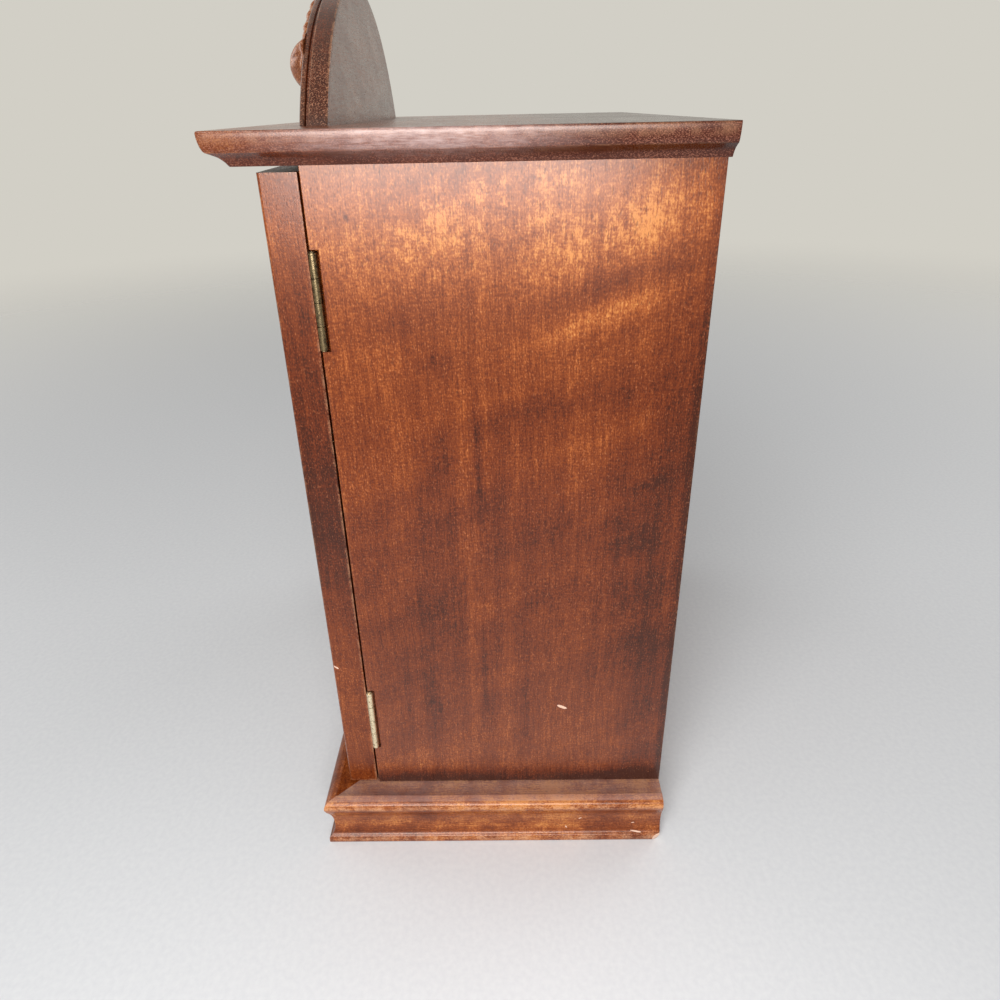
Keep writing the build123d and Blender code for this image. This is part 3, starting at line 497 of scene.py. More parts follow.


# Side panel
# Figure of the right side: a pale ray streak with dark flecks, slanting bands, and a dent near its top.
# The broad pale rows near the top, at Z 274 and Z 256, are a painted highlight, and the dark rows at
# Z 26 and Z 28 are painted shade just above the base.
# Each row is the middle's Y and Z, the reach along and across, the lean in degrees and the strength.
SIDE_FIGURE = (
    (6, 274, 84, 34, 5, 0.34), (-6.7, 164, 3.8, 84, 0, 0.12), (-15, 224, 12, 11, 20, -0.17),
    (-13.5, 187, 8, 17, 0, -0.17), (-17.5, 116, 13, 14, 10, -0.18), (-22, 72, 14, 13, 10, -0.17),
    (-0.8, 186, 2.2, 38, 0, -0.26), (-0.8, 84, 2.2, 34, 0, -0.24), (44, 262, 48, 13, 27, 0.36),
    (42, 238, 40, 8, 22, 0.24), (52, 249, 44, 8, 16, -0.16), (25, 155, 32, 9, 30, -0.15),
    (56, 151, 20, 13, 0, -0.14), (-38.6, 269, 1.1, 2.2, 10, -0.6), (-28, 256, 60, 17, 0, 0.2),
    (20, 205, 50, 8, 14, -0.14), (60, 213, 28, 9, 20, -0.16), (-30, 236, 20, 9, 15, -0.12),
    (62, 176, 26, 8, 24, -0.16), (50, 196, 40, 6, 18, 0.1), (62, 105, 20, 14, 12, -0.12),
    (56, 26, 30, 8, 3, -0.26), (-30, 28, 30, 7, 0, -0.12), (40, 262, 2.0, 26, 0, -0.2),
    (52, 272, 1.6, 16, 0, -0.22),
)


def side_panel_marks(tree, place):
    """Figure of the right side, broken up by fine mottle, with a painted highlight near its top.

    The foot is dark with painted shade, where the panel meets the base, and the back edge is darker. Near
    the top both upright arrises are paler.
    """
    mottled = grain_noise(tree, place, 3.03, detail=3.0, roughness=0.6)
    breaks = add(tree, "MapRange", {"Value": mottled, "From Min": 0.3, "From Max": 0.7, "To Min": 0.4,
                                    "To Max": 1.6})
    rows = [figure(tree, place, (114, y, z), (50, along, across), lean, strength)
            for y, z, along, across, lean, strength in SIDE_FIGURE]
    fine = product_of(tree, total_of(tree, *rows), breaks, 0.72)
    broad = figure(tree, place, (114, 10, 135), (50, 140, 120), 0, -0.2)
    low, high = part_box("side_panel_right")
    _, y, z = add(tree, "SeparateXYZ", {0: place}).outputs
    # Painted shade at the foot, where the panel meets the base, and darker along the back edge
    foot_shade_and_dark_back = [beside(tree, axis, edge, reach, strength) for axis, edge, reach, strength in (
        (z, low.z, 11, -0.44), (y, high.y, 5, -0.2), (y, high.y, 30, -0.2))]
    upper = within(tree, z, 235 * MM, 262 * MM)
    paler = [product_of(tree, beside(tree, y, edge, reach, strength, "LINEAR"), upper)
             for edge, reach, strength in ((low.y, 7, 0.16), (high.y, 32, 0.26))]
    return total_of(tree, fine, broad, *foot_shade_and_dark_back, *paler)


def panel_painted_veil(tree, place):
    """Painted reflection on the lower half of the panel: a pale veil, less and less up to 130 mm."""
    return fading(tree, add(tree, "SeparateXYZ", {0: place}).outputs[2], 30 * MM, 130 * MM, 0.045)


def right_side():
    """The panel that the photograph looks at, with a chip low on it."""
    chip = (((114, 31.7, 69.2), (1.5, 3.8, 1.2), -25),)
    panel = stained_board("side_panel_right", {**MAHOGANY, "wear": 0.1}, "Z", 1, mottle_turn=(-0.5, 0.0, 0.0),
                          marks=side_panel_marks, chips=chip, veil=panel_painted_veil)
    fit(softened("side_panel_right", 0.25, shortest=5.0), panel)


def stile_marks(tree, place):
    """Edge of the door: darker along its middle."""
    return figure(tree, place, (114, -58, 175), (60, 60, 95), 0, -0.36)


def plain_boards():
    """Square boards of the case, the door and the drawers: rounded arrises and each its own cut of wood."""
    # Node, wood, grain direction and rounding of the arrises
    boards = [
        ("side_panel_left", MAHOGANY, "Z", 0.6), ("back_panel", STAINED_PLY, "Z", 0.3),
        ("bottom_board", STAINED_PLY, "X", 0.3), ("base_back_rail", STAINED_PLY, "X", 0.5),
        ("corner_blocks", STAINED_PLY, "X", 0.4), ("necklace_shelf", MAHOGANY, "X", 0.4),
        ("drawer_divider_1", MAHOGANY, "X", 0.4), ("drawer_divider_2", MAHOGANY, "X", 0.4),
        ("necklace_rail", MAHOGANY, "X", 0.8), ("door_stile_left", MAHOGANY, "Z", 0.4),
        ("door_stile_right", {**MAHOGANY, "wear": 0.35}, "Z", 0.4), ("door_rail_top", MAHOGANY, "X", 0.3),
        ("door_rail_bottom", MAHOGANY, "X", 0.3), ("glass_beads", MAHOGANY, "X", 0.3),
    ]
    nick = (((114, -62.9, 92.3), (0.8, 2.2, 0.6), -40),)
    special = {"necklace_rail": {"tone": 0.02},
               "door_stile_right": {"tone": -0.02, "chips": nick, "marks": stile_marks}}
    drawer_parts = (("side_left", "Y"), ("side_right", "Y"), ("back", "X"), ("bottom", "X"))
    for drawer in DRAWERS:
        special[f"{drawer}_front"] = {"tone": 0.03}
        boards += [(f"{drawer}_front", MAHOGANY, "X", 0.9)]
        boards += [(f"{drawer}_{part}", SEALED_WOOD, grain, 0.4) for part, grain in drawer_parts]
    for seed, (node, wood, grain, arris) in enumerate(boards, start=2):
        fit(softened(node, arris), stained_board(node, wood, grain, seed, **special.get(node, {})))


# Base mouldings: out from the case and height. A foot, a hollow, a round nose and a ledge.
BASE_HOLLOW_AND_NOSE = ((12.6, 0.5), (12.62, 2.3), (12.35, 3.4), (11.3, 4.3), (10.3, 6.0), (9.85, 8.4),
                        (9.85, 11.0), (10.2, 13.8), (11.0, 16.6), (12.0, 18.8), (12.65, 20.6), (12.8, 21.9),
                        (12.45, 23.1), (11.5, 24.1), (10.0, 24.75), (8.2, 24.95))
# Chips on the right length: middle, reach and lean
BASE_CHIPS = (((126, 75.8, 1.5), (6, 4.5, 3.2), 35), ((124, 34.1, 6.4), (3, 0.9, 0.5), -50),
              ((124, 40.4, 11.6), (3, 1.3, 0.5), 40), ((125, 64.5, 8.4), (3, 1.5, 0.5), 10),
              ((126, 65.5, 4.4), (3, 4.5, 0.45), -8))


def base_section():
    """Outline of the base moulding as out and height, and how far each of its places is rubbed bare."""
    worked = curve(BASE_HOLLOW_AND_NOSE, 5)
    line = np.vstack([[(-6, 0), (12.0, 0), (12.35, 0.12)], worked, [(7.7, 24.9), (7.3, 24.6), (-6, 24.6)]])
    out, height = line.T
    nose = np.exp(-((height - 21.8) / 1.3) ** 2) * (out > 11)
    foot = np.exp(-((height - 2.2) / 1.5) ** 2) * (out > 11)
    return out, height, np.clip(nose * 0.9 + foot * 0.8, 0, 1)


def base_mouldings():
    """Three lengths of base moulding: the section runs along each side and is cut at 45 degrees in front."""
    out, height, rub = base_section()
    case_half = box_of("side_panel_right")[1][0]
    front = box_of("base_moulding_front")[0][1] + out.max()
    back = box_of("base_moulding_right")[1][1]
    share = np.array([0, 0.008, 0.02, 0.04, 0.3, 0.7, 1.0])[:, None]
    # The back foot corner is knocked off: the lower the place and the nearer the end, the more it draws in
    knocked = np.clip(1 - height / 4.5, 0, 1) * np.clip(1 - share * 60, 0, 1) * (out > 8)
    for side, name, missing, chips in ((1, "right", knocked, BASE_CHIPS), (-1, "left", 0 * knocked, ())):
        # Wear 0.72 bares the rubbed nose and foot far: partly real wear, partly a painted highlight along
        # them.
        finish = stained_board(f"base_moulding_{name}", {**MAHOGANY, "wear": 0.72}, "Y", 30 + side,
                               rubbed=True, tone=0.1, chips=chips, marks=base_patches, veil=ledge_painted_veil)
        length = surface(f"base_moulding_{name}_shown",
                         (side * (case_half + out - 1.3 * missing),
                          back + (front - out - back) * share - 1.0 * missing, height), rub=rub)
        fit(length, finish)
    across = np.linspace(-1, 1, 9)[:, None]
    # tone -0.16 paints the front length darker than the two side lengths: painted shade.
    finish = stained_board("base_moulding_front", MAHOGANY, "X", 33, rubbed=True, tone=-0.16,
                           marks=base_patches)
    length = surface("base_moulding_front_shown", ((case_half + out) * across, front - out, height), rub=rub)
    fit(length, finish)


def ledge_painted_veil(tree, place):
    """Painted reflection on the ledge of the base: a pale veil over its colour."""
    z = add(tree, "SeparateXYZ", {0: place}).outputs[2]
    return product_of(tree, within(tree, z, 24.2 * MM, 24.6 * MM), 0.4)


def base_patches(tree, place):
    """Base moulding: the hollow is patchy where stain was wiped, its rim is dark, and the ledge and the top
    of the nose are paler, partly worn tone and partly painted reflection.
    """
    patch = grain_noise(tree, place, 11.765, detail=3.0, roughness=0.6)
    z = add(tree, "SeparateXYZ", {0: place}).outputs[2]
    # Paler ledge and nose top: partly worn tone, partly painted reflection
    ledge = product_of(tree, within(tree, z, 19.5 * MM, 22.5 * MM), 0.16)
    rim = beside(tree, z, 5.2 * MM, 2.6, -0.14, "LINEAR")
    return total_of(tree, weighted(tree, 0.02, [(patch, 0.9)]), ledge, rim)


# Top board
def top_board():
    """Rings round the top board: at each height the outline is drawn in by what the cutter took there.

    The back edge is square, and the two front corners are rounded by 0.8 mm.
    """
    low, high = box_of("top_board")
    under, over = low[2], high[2]
    arris = [(0.55, over), (0.22, over - 0.08), (0.04, over - 0.3), (0.0, over - 0.6)]
    band = [(0.04, over - 1.6), (0.2, over - 2.9), (0.5, over - 4.2), (0.95, over - 5.3), (1.32, over - 5.72)]
    hollow = curve(((1.6, over - 5.85), (2.6, over - 6.35), (4.1, over - 7.2), (5.3, over - 8.4),
                    (6.0, under + 0.3)), 5)
    section = np.vstack([[(20, over), (3, over)], arris, band, hollow,
                         [(6.25, under), (9, under), (20, under)]])
    inset, height = section[:, :1], section[:, 1:]
    turn = np.linspace(0, math.pi / 2, 7)
    radius = 0.8
    deep = high[1] - low[1]
    # From the back along one side, round its front corner and on along the front, as distances from the
    # side and from the front. The back ends are cut square, so only places near the front draw back.
    from_side = np.concatenate([[0, 0, 0, 0], radius * (1 - np.cos(turn)), [radius + 1.5]])
    from_front = np.concatenate([[deep, deep - 1.5, radius + 40, radius + 1.5], radius * (1 - np.sin(turn)),
                                 [0]])
    across = np.concatenate([from_side - high[0], high[0] - from_side[::-1]])
    along = low[1] + np.concatenate([from_front, from_front[::-1]])
    x = across - inset * np.sign(across)
    y = along + inset * (along < low[1] + radius + 2)
    worn = 0.5 * np.exp(-((inset - 1.32) / 0.12) ** 2) + 0.4 * np.exp(-((inset - 0.1) / 0.2) ** 2)
    wood = {**MAHOGANY, "end": "#44170b", "stipple": "#96604b"}
    finish = stained_board("top_board", wood, "X", 20, rubbed=True, tone=-0.06, marks=top_board_marks,
                           veil=top_board_painted_highlight)
    rub = np.clip(worn, 0, 1) * (y < high[1] - 0.5)
    fit(surface("top_board_shown", (x, y, height), rub=rub), finish)


def top_board_painted_highlight(tree, place):
    """Painted highlight along the middle of the top board's right edge, in fine pale streaks."""
    streak = grain_noise(tree, add(tree, "Mapping", {"Vector": place, "Rotation": GRAIN["Y"][0]}), 0.5, 3.5)
    highlight_spot = figure(tree, place, (124, -12, 291), (12, 62, 8), 0, 0.85)
    return product_of(tree, highlight_spot, weighted(tree, 0.8, [(streak, 1.6)]))


def top_board_marks(tree, place):
    """Top board: orange at its front corners, darker towards the back, and painted shade in the hollow under
    the band.
    """
    low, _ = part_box("top_board")
    _, y, z = add(tree, "SeparateXYZ", {0: place}).outputs
    front = beside(tree, y, low.y, 22, 0.18)
    back = product_of(tree, within(tree, y, 0.0, 50 * MM), -0.5)
    # Painted shade in the hollow, which faces down under the band
    hollow = fading(tree, z, low.z + 3.7 * MM, low.z + 4.0 * MM, -0.28, "LINEAR")
    return total_of(tree, front, back, hollow)


# Crest
def crest_board():
    """Arched board: a section of depth and distance from the arch, turned about the arch's centre.

    Each of its lines is an arc that ends on the top board, at the angle whose cosine is the centre's depth
    below the board over the line's radius.
    """
    low, high = box_of("crest_board")
    half, rise = high[0], high[2] - low[2]
    radius = (half**2 + rise**2) / (2 * rise)
    centre = high[2] - radius
    bead = curve(((0.0, 1.7), (0.1, 1.25), (0.45, 0.92), (1.0, 0.8), (1.6, 0.92), (1.98, 1.25),
                  (2.1, 1.7)), 4)
    groove = [(2.15, 1.85), (3.25, 1.85), (3.3, 1.6)]
    edge = [(3.3, 0.5), (3.4, 0.16), (3.65, 0.0), (3.9, 0.0), (9.0, 0.0), (9.3, 0.0), (9.7, 0.12), (9.9, 0.5),
            (9.9, 1.0)]
    section = np.vstack([[(0.0, 2.4)], bead, groove, edge])
    depth, inset = section[:, :1], section[:, 1:]
    reach = radius - inset
    angle = np.arccos((low[2] - centre) / reach) * np.linspace(-1, 1, 121)
    front_arris = 0.8 * ((depth > 3.2) & (depth < 3.8) & (inset < 0.6))
    back_arris = 0.7 * ((depth > 9.2) & (inset < 0.6))
    on_bead = 0.2 * ((depth < 1.9) & (inset < 1.2))

    def arch_edge(tree, place):
        """The bead and the edge of the arch drank more stain than the faces."""
        flat = add(tree, "VectorMath", {0: place, 1: (1, 0, 1)}, operation="MULTIPLY")
        away = add(tree, "VectorMath", {0: flat, 1: (0, 0, centre * MM)}, operation="DISTANCE")
        y = add(tree, "SeparateXYZ", {0: place}).outputs[1]
        bead_share = fading(tree, y, (low[1] + 2.2) * MM, (low[1] + 2.8) * MM, 1.8 * MM, "LINEAR")
        outward = total_of(tree, away.outputs["Value"], bead_share)
        return product_of(tree, within(tree, outward, (radius - 1.2) * MM, (radius - 0.4) * MM), -0.3)

    finish = stained_board("crest_board", MAHOGANY, "X", 40, rubbed=True, mottle_turn=(0.0, 0.5, 0.0),
                           tone=-0.04, marks=arch_edge)
    places = (reach * np.sin(angle), low[1] + depth, centre + reach * np.cos(angle))
    board = surface("crest_board_shown", places, wrap=False, rub=front_arris + back_arris + on_bead)
    fit(board, finish)
    return centre, radius


# Carving stands on the crest's face and starts this far inside the wood
ROOT = 0.25


def raised(name, centre, face, aside, up, height, caps=(False, False)):
    """Relief: each place lies aside and up from the centre and stands out from the face by its height."""
    return surface(name, (centre[0] + aside, face - height, centre[1] + up), caps=caps, crease=60)


def rosette(centre, face):
    """Round boss: a cap of a sphere 6.4 mm high, a ring cut round its button, and eight petals about it.

    The places are polar. Height is the cap's, less a narrow ring, less flutes that deepen outwards, or the
    petals' where they stand higher.
    """
    turn = full_turn(128)
    ball, relief, cap = 8.55, 6.4, 8.27
    outer = 9.3 + 0.5 * np.cos(8 * turn)
    distance = np.linspace(0, 1, 40)[:, None] * outer
    dome = np.sqrt(np.clip(ball**2 - distance**2, 0, None)) - (ball - relief)
    ring = 0.45 * np.exp(-((distance - 2.7) / 0.34) ** 2)
    flute = 0.5 * (0.5 - 0.5 * np.cos(8 * turn)) ** 3 * np.clip((distance - 3.2) / 3, 0, 1)
    petal = 1.5 * np.sqrt(np.clip(1 - (distance / outer) ** 6, 0, 1)) * (0.75 + 0.25 * np.cos(8 * turn))
    height = np.maximum(np.where(distance < cap, dome - ring - flute, -1), petal)
    height[-1] = -ROOT
    return raised("rosette", centre, face, distance * np.cos(turn), distance * np.sin(turn), height,
                  caps=(False, True))


def leaf(centre, turn, face):
    """Carved leaf: pointed at both ends, scalloped along its edges, and cut down its middle by a vein.

    Half width is sin(pi t) to the 0.8 with a scallop of an eighth, and height falls from the middle to the
    edge as a half ellipse with a flute for each scallop.
    """
    length, width, relief, lobes = 13.2, 6.0, 2.6, 4
    t = np.linspace(0, 1, 41)[:, None]
    v = np.linspace(-1, 1, 21)[None, :]
    half = width / 2 * np.sin(math.pi * t) ** 0.8 * (1 + 0.12 * np.cos(2 * math.pi * lobes * t))
    flute = 1 - 0.16 * (0.5 - 0.5 * np.cos(2 * math.pi * lobes * (t - 0.12 * np.abs(v))))
    vein = 1 - 0.4 * np.exp(-((v / 0.13) ** 2))
    height = relief * np.sin(math.pi * t) ** 0.5 * np.sqrt(1 - v**2) * flute * vein
    height = np.where(np.abs(v) == 1, -ROOT, height)
    bend = 0.08 * width * np.cos(math.pi * t)
    along, across = (t - 0.5) * length, half * v + bend
    cos, sin = math.cos(turn), math.sin(turn)
    return raised("leaf", centre, face, along * cos - across * sin, along * sin + across * cos, height)


def fluted_shell(centre, face):
    """Fluted shell: ribs spread like a fan from a button, each a round ridge that ends in a scallop.

    Height is a hump along the rib times a ridge across it, and falls by a third towards the outer ribs.
    """
    spread, ribs, longest, relief = math.radians(76), 7, 25.5, 3.4
    turn = np.linspace(-spread, spread, 127)[:, None]
    share = np.linspace(0, 1, 33)[None, :]
    ridge = np.abs(np.cos(turn / spread * ribs * math.pi / 2))
    reach = longest * (0.9 + 0.1 * ridge**0.6) * (1 - 0.12 * (turn / spread) ** 2)
    hump = np.sin(math.pi * np.clip(share, 0.02, 0.985) ** 1.25) ** 0.7
    height = relief * hump * (0.45 + 0.55 * ridge**0.7) * (1 - 0.35 * (turn / spread) ** 2)
    height = np.where((share == 0) | (share == 1), -ROOT, height)
    return raised("shell", centre, face, reach * share * np.sin(turn), reach * share * np.cos(turn), height,
                  caps=(True, True))


def shell_button(centre, face):
    """Button at the foot of the shell: half an ellipsoid 5 mm high with a ring cut round it."""
    radius, relief = 5.4, 5.0
    turn = full_turn(64)
    distance = np.linspace(0, radius, 20)[:, None]
    ring = 0.4 * np.exp(-((distance - 3) / 0.4) ** 2)
    height = relief * np.sqrt(np.clip(1 - (distance / radius) ** 2, 0, 1)) - ring
    height[-1] = -ROOT
    return raised("button", centre, face, distance * np.cos(turn), distance * np.sin(turn), height,
                  caps=(False, True))


def tube(name, path, radius, plane_normal, sides=20):
    """Round bar along a path that lies in one plane: rings square to it, of a radius for each place."""
    tangent = np.gradient(path, axis=0)
    tangent /= np.linalg.norm(tangent, axis=1, keepdims=True)
    level = np.asarray(plane_normal, float)
    rise = np.cross(tangent, level)
    turn = full_turn(sides)[:, :, None]
    ring = rise[:, None] * np.cos(turn) + level * np.sin(turn)
    grid = path[:, None] + ring * radius[:, None, None]
    return surface(name, np.moveaxis(grid, -1, 0), crease=50)


def carve_crest(centre, radius):
    """Carving on the crest's face: rosettes low on both sides, leaves that climb the arch, and a shell."""
    low, high = box_of("crest_board")
    face, foot = low[1], low[2]
    rosette_inward, rosette_up, shell_up = 27.0, 18.0, 11.0
    line = radius - 8.3
    wing_out, leaf_spacing, leaf_lean = 3.0, 4.8, math.radians(24)
    pieces = []
    for side in (-1, 1):
        pieces.append(rosette((side * (high[0] - rosette_inward), foot + rosette_up), face))
        sweep = np.radians(np.linspace(36, 11, 60))
        stem = np.stack([side * line * np.sin(sweep), np.full(60, face + 0.1), centre + line * np.cos(sweep)],
                        axis=-1)
        thick = 0.4 + 1.3 * np.sin(np.linspace(0.12, math.pi * 0.96, 60)) ** 0.6
        pieces.append(tube("stem", stem, thick, (0, 1, 0)))
        for index in range(5):
            for wing in (-1, 1):
                at = math.radians(14 + leaf_spacing * index)
                out = line - wing * wing_out
                place = (side * out * math.sin(at), centre + out * math.cos(at))
                pieces.append(leaf(place, side * (-at + leaf_lean * wing), face))
    pieces.append(fluted_shell((0, foot + shell_up), face))
    pieces.append(shell_button((0, foot + shell_up), face))
    finish = stained_board("crest_carving", MAHOGANY, "X", 41, tone=0.2)
    fit(joined("crest_carving_shown", pieces), finish)


# Metal
def turned(name, profile, place):
    """Turned piece: a profile of radius and length swept round an axis that points to the front."""
    turn = full_turn(72)
    radius, length = profile[:, :1], profile[:, 1:]
    return surface(name, (place[0] + radius * np.cos(turn), place[1] - length,
                          place[2] + radius * np.sin(turn)), caps=(False, False), crease=45)


def knob_profile(foot, neck, head, foot_length, under, crown, length):
    """Profile of a knob: a rimmed foot, a waisted neck and a round head with a fine line turned in it."""
    widest = length - crown
    throat = widest - under
    skirt = [(0, -0.2), (foot - 0.25, -0.2), (foot, 0.1), (foot, foot_length * 0.6),
             (foot - 0.25, foot_length * 0.85)]
    waist = curve(((foot - 0.8, foot_length), (neck + 0.8, foot_length + 0.4),
                   (neck + 0.05, foot_length + 1.2), (neck, throat - 0.3), (neck + 0.7, throat + 0.15)), 5)
    cheek = curve(((head * 0.55, throat + under * 0.2), (head * 0.86, throat + under * 0.5),
                   (head, widest - 0.1), (head * 0.97, widest + crown * 0.3),
                   (head * 0.87, widest + crown * 0.58)), 5)
    groove = [(head * 0.845, widest + crown * 0.61), (head * 0.82, widest + crown * 0.61)]
    top = curve(((head * 0.8, widest + crown * 0.68), (head * 0.6, widest + crown * 0.86),
                 (head * 0.3, widest + crown * 0.97), (0, length)), 5)
    return np.vstack([skirt, waist, cheek, groove, top])


def knobs(metal):
    """Door knob and three drawer knobs, each standing on its own board's face."""
    door_knob = (5.2, 2.6, 7.0, 1.6, 2.6, 4.0, 11.4)
    drawer_knob = (4.2, 2.1, 5.6, 1.4, 2.2, 3.4, 11.0)
    for node, board, size in (("door_knob", "door_stile_left", door_knob),
                              *((f"{drawer}_knob", f"{drawer}_front", drawer_knob) for drawer in DRAWERS)):
        low, high = box_of(node)
        place = ((low[0] + high[0]) / 2, box_of(board)[0][1], (low[2] + high[2]) / 2)
        fit(turned(f"{node}_shown", knob_profile(*size), place), metal)


def necklace_hooks(metal):
    """Cup hooks: wire that runs out, drops by a quarter turn and comes up again by a half turn.

    Each has a round flange against the rail and a ball on its tip.
    """
    count, spacing, wire = 7, 27.0, 0.9
    bend, cup, tail = 2.4, 3.2, 1.2
    rail_low, rail_high = box_of("necklace_rail")
    face, height = rail_low[1], (rail_low[2] + rail_high[2]) / 2
    quarter = np.linspace(0, math.pi / 2, 10)
    half = np.linspace(0, math.pi, 20)
    tip = np.linspace(0, math.pi, 12)[1:-1]
    straight = np.array([4.5, 0.25, 0.2, 0.0, -0.7, -0.9, -1.1, -2.4])
    flange = np.array([wire, wire, 2.3, 2.6, 2.3, 1.3, wire, wire])
    y = np.concatenate([straight, -3 - bend * np.sin(quarter), -3 - bend - cup + cup * np.cos(half)[1:]])
    y = np.concatenate([y, np.full(2 + len(tip), y[-1])])
    z = np.concatenate([0 * straight, bend * (np.cos(quarter) - 1), -bend - cup * np.sin(half)[1:],
                        [-bend + 0.5, -bend + tail - 0.6], -bend + tail + 0.4 - 1.1 * np.cos(tip)])
    radius = np.concatenate([flange, np.full(len(quarter) + len(half) + 1, wire),
                             np.maximum(1.25 * np.sin(tip), 0.3)])
    pieces = []
    for index in range(count):
        x = (index - count // 2) * spacing
        path = np.stack([np.full(len(y), x), face + y, height + z], axis=-1)
        pieces.append(tube(f"hook_{index}", path, radius, (1, 0, 0), sides=16))
    fit(joined("necklace_hooks_shown", pieces), metal)


def metal_parts():
    """Hinges, screws, catch and strike plate as made, with their small edges broken."""
    aged = brass("aged_brass", "#8d7a5a", "#40372a", 0.5, 0.22)
    bright = brass("bright_brass", "#ecdcba", "#8a6f4c", 0.3, 0.28)
    zinc = zinc_plate("zinc_plated_steel")
    for hinge, metal in (("upper_hinge", aged), ("lower_hinge", bright)):
        for part in ("case_leaf", "door_leaf", "pin"):
            fit(softened(f"{hinge}_{part}", 0.14, shortest=0.1, segments=2), metal)
    for node, metal in (("hinge_screws_case", bright), ("hinge_screws_door", bright), ("crest_screws", zinc),
                        ("door_knob_screw", zinc), ("strike_plate", zinc)):
        fit(softened(node, 0.1, shortest=0.1, segments=1), metal)
    fit(softened("door_catch", 0.6), moulded_plastic("moulded_abs"))
    knobs(bright)
    necklace_hooks(bright)


# Glass and velvet
def over_level(name, x, y, top, level, crease):
    """Closed skin with a top of any height over a grid of X and Y, and a flat underside at a level."""
    height = np.hstack([top, np.full_like(x, level)])
    return surface(name, (np.hstack([x, x[:, ::-1]]), np.hstack([y, y[:, ::-1]]), height), crease=crease)


def felt_sheet(node, seed):
    """Laid felt: a thin sheet that lies flat on its board, with a pile that stands a little unevenly.

    Its top is 0.28 mm below the solid's, waves up and down by up to 0.22 mm, and falls by 0.35 mm at its
    edges.
    """
    low, high = box_of(node)
    x, y = np.meshgrid(np.linspace(low[0], high[0], 90), np.linspace(low[1], high[1], 50), indexing="ij")
    wave = 0.11 * (np.sin(x / 9.0 + seed) * np.cos(y / 7.0 - seed) + np.sin((x + y) / 4.3 + 2 * seed))
    edge = np.minimum(np.minimum(x - low[0], high[0] - x), np.minimum(y - low[1], high[1] - y))
    top = high[2] - 0.28 + wave - 0.35 * np.exp(-edge / 0.6)
    piece = over_level(f"{node}_shown", x, y, top, low[2], 60)
    return piece


def ring_cushion(cover):
    """Ring cushion: seven rolls side by side with slots between them, blown up as cloth over its filling.

    The height is a half wave for each roll, drawn down at the rolls' ends. Cloth with pressure then swells
    it by up to 1.1 mm and gives it its creases.
    """
    low, high = box_of("ring_cushion")
    gap, rolls, welt = 1.5, 7, 2.0
    low, high = low + (gap, gap, 0.2), high - (gap, gap, gap + 0.3)
    u, v = np.meshgrid(np.linspace(0, 1, rolls * 14 + 1), np.linspace(0, 1, 70), indexing="ij")
    roll = np.abs(np.sin(math.pi * rolls * u)) ** 0.55
    end = np.clip(1 - np.abs(2 * v - 1) ** 9, 0, 1) ** 0.5
    side = np.clip(1 - np.abs(2 * u - 1) ** 40, 0, 1) ** 0.5
    crown = (high[2] - low[2] - welt) * (0.34 + 0.66 * roll) * (0.25 + 0.75 * end) * side
    draw = 1.6 * (1 - roll) * (2 * v - 1)
    x = low[0] + (high[0] - low[0]) * v - draw
    y = low[1] + (high[1] - low[1]) * u
    piece = over_level("ring_cushion_shown", x, y, low[2] + welt + crown, low[2], 180)
    swell(piece, 1.1)
    fit(piece, cover)


def swell(piece, most):
    """Fill a cushion: cloth with pressure swells its remeshed skin, and no point moves by most or more."""
    def apply(modifier):
        with bpy.context.temp_override(object=piece, active_object=piece, selected_objects=[piece]):
            bpy.ops.object.modifier_apply(modifier=modifier.name)

    def skin_points():
        points = np.empty(len(piece.data.vertices) * 3)
        piece.data.vertices.foreach_get("co", points)
        return points

    remesh = piece.modifiers.new("even", "REMESH")
    remesh.mode = "VOXEL"
    remesh.voxel_size = 1.7 * MM
    apply(remesh)
    start = skin_points()
    cloth = piece.modifiers.new("cover", "CLOTH")
    cloth.settings.use_pressure = True
    cloth.settings.uniform_pressure_force = 4.0
    cloth.settings.effector_weights.gravity = 0.0
    cloth.settings.tension_stiffness = 5.0
    cloth.settings.bending_stiffness = 0.05
    cloth.settings.mass = 0.1
    for step in range(1, 15):
        bpy.context.scene.frame_set(step)
    apply(cloth)
    bpy.context.scene.frame_set(1)
    moved = (skin_points() - start).reshape(-1, 3)
    far = np.linalg.norm(moved, axis=1, keepdims=True)
    limit = most * MM
    moved *= limit * np.tanh(far / limit) / np.maximum(far, 1e-9)
    piece.data.vertices.foreach_set("co", start + moved.ravel())
    smooth = piece.modifiers.new("finer", "SUBSURF")
    smooth.levels = smooth.render_levels = 1
    apply(smooth)
    piece.data.shade_smooth()


def soft_parts():
    """Velvet on the shelf, in the drawers and on the ring cushion, and the pane in the door."""
    for seed, (node, board) in enumerate((("shelf_felt", "necklace_shelf_shown"),
                                          *((f"{d}_felt", f"{d}_bottom_shown") for d in DRAWERS))):
        fit(felt_sheet(node, seed), velvet(f"{node}_velvet", "#86202f", "#430a15", seed + 1))
    ring_cushion(velvet("cushion_velvet", "#8f2636", "#4a0d18", 7))
    fit(softened("door_glass", 0.3), float_glass("float_glass"))


# Studio
def seen_ray(tree):
    """1 for a ray that shows the backdrop: seen directly, in a reflection or through glass."""
    rays = add(tree, "LightPath").outputs
    seen = add(tree, "Math", {0: rays["Is Camera Ray"], 1: rays["Is Glossy Ray"]}, operation="MAXIMUM")
    return add(tree, "Math", {0: seen, 1: rays["Is Transmission Ray"]}, operation="MAXIMUM")


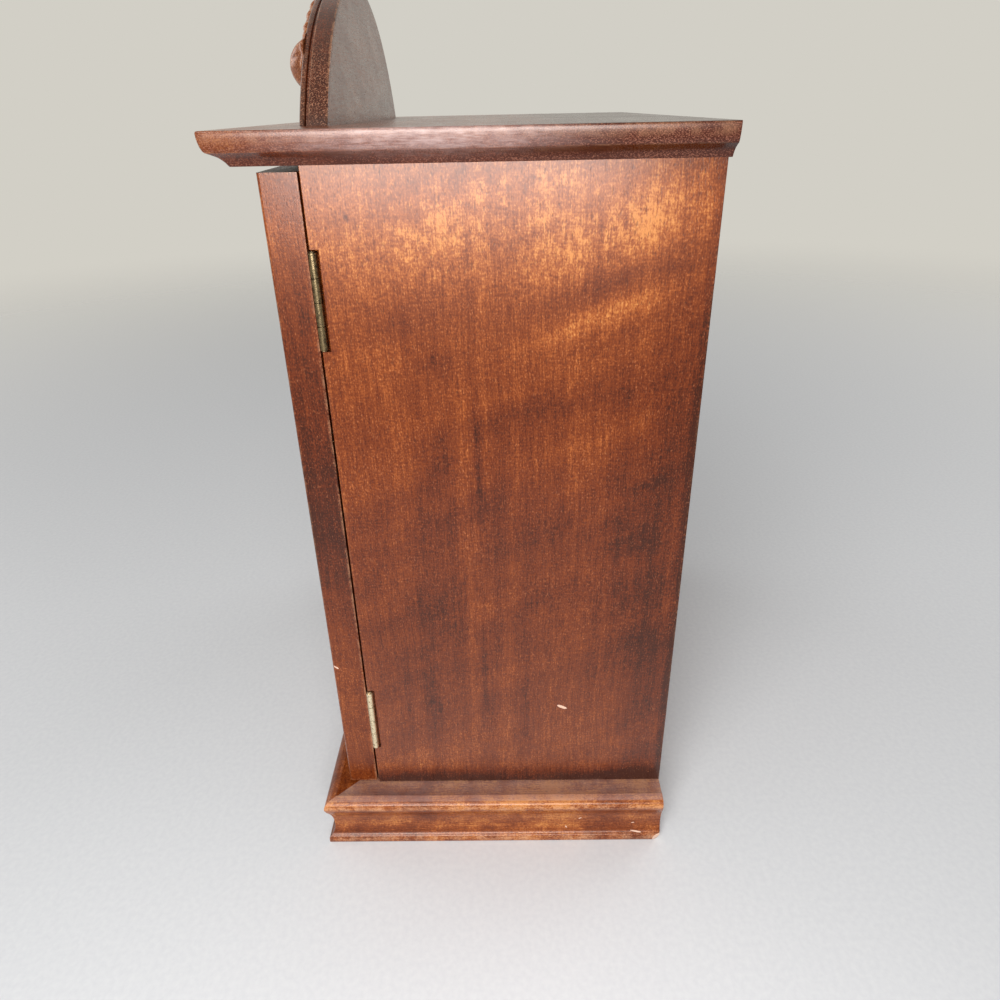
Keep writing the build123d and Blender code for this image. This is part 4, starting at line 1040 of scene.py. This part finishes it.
def studio():
    """Pale floor that fades into an even pale surround, and soft lamps, the nearest one beside the camera."""
    half = 1.8
    mesh = bpy.data.meshes.new("floor")
    mesh.from_pydata([(-half, -half, 0), (half, -half, 0), (half, half, 0), (-half, half, 0)], [],
                     [(0, 1, 2, 3)])
    material, tree, place = new_finish("pale_laminate")
    speck = grain_noise(tree, place, 2.381)
    colour = add(tree, "ValToRGB", {"Fac": speck}, stops=((0.3, "#d2d3d5"), (0.7, "#d8d9da")))
    top = add(tree, "BsdfPrincipled", {"Base Color": colour, "Roughness": 0.5})
    length = add(tree, "VectorMath", {0: place}, operation="LENGTH").outputs["Value"]
    fade = within(tree, length, 0.45, 1.7)
    nothing = add(tree, "BsdfTransparent")
    mesh.materials.append(finished(material, add(tree, "MixShader", {0: fade, 1: top, 2: nothing})))
    placed("floor", mesh)

    world = bpy.data.worlds.new("pale_surround")
    world.use_nodes = True
    tree = world.node_tree
    tree.nodes.clear()
    ambient = add(tree, "Background", {"Color": "#f4f4f4", "Strength": 0.36})
    backdrop = add(tree, "Background", {"Color": "#d2cfc6", "Strength": 1.0})
    mixed = add(tree, "MixShader", {0: seen_ray(tree), 1: ambient, 2: backdrop})
    add(tree, "OutputWorld", {"Surface": mixed})
    bpy.context.scene.world = world

    # Place, what it faces, width and height in metres and power in watts of each lamp
    for name, place, target, width, height, power in (
        ("lamp_by_camera", (0.513, -0.03, 0.276), (0.114, 0.0, 0.2), 0.3, 0.09, 1.9),
        ("lamp_above", (0.8, -0.3, 0.95), (0.1, 0, 0.1), 0.5, 0.5, 5.5),
        ("lamp_front", (-0.5, -1.2, 0.7), (0, 0, 0.17), 0.7, 0.7, 3.2),
        ("lamp_behind", (-0.7, 1.0, 0.8), (0, 0, 0.17), 0.7, 0.7, 3.6),
    ):
        data = bpy.data.lights.new(name, "AREA")
        data.shape = "RECTANGLE"
        data.size = width
        data.size_y = height
        data.energy = power
        lamp = placed(name, data)
        aim = Vector(target) - Vector(place)
        lamp.matrix_world = Matrix.Translation(place) @ aim.to_track_quat("-Z", "Y").to_matrix().to_4x4()
        lamp.visible_camera = False


side_view_camera()
bpy.context.scene.view_settings.view_transform = "Standard"
studio()
right_side()
plain_boards()
base_mouldings()
top_board()
carve_crest(*crest_board())
metal_parts()
soft_parts()
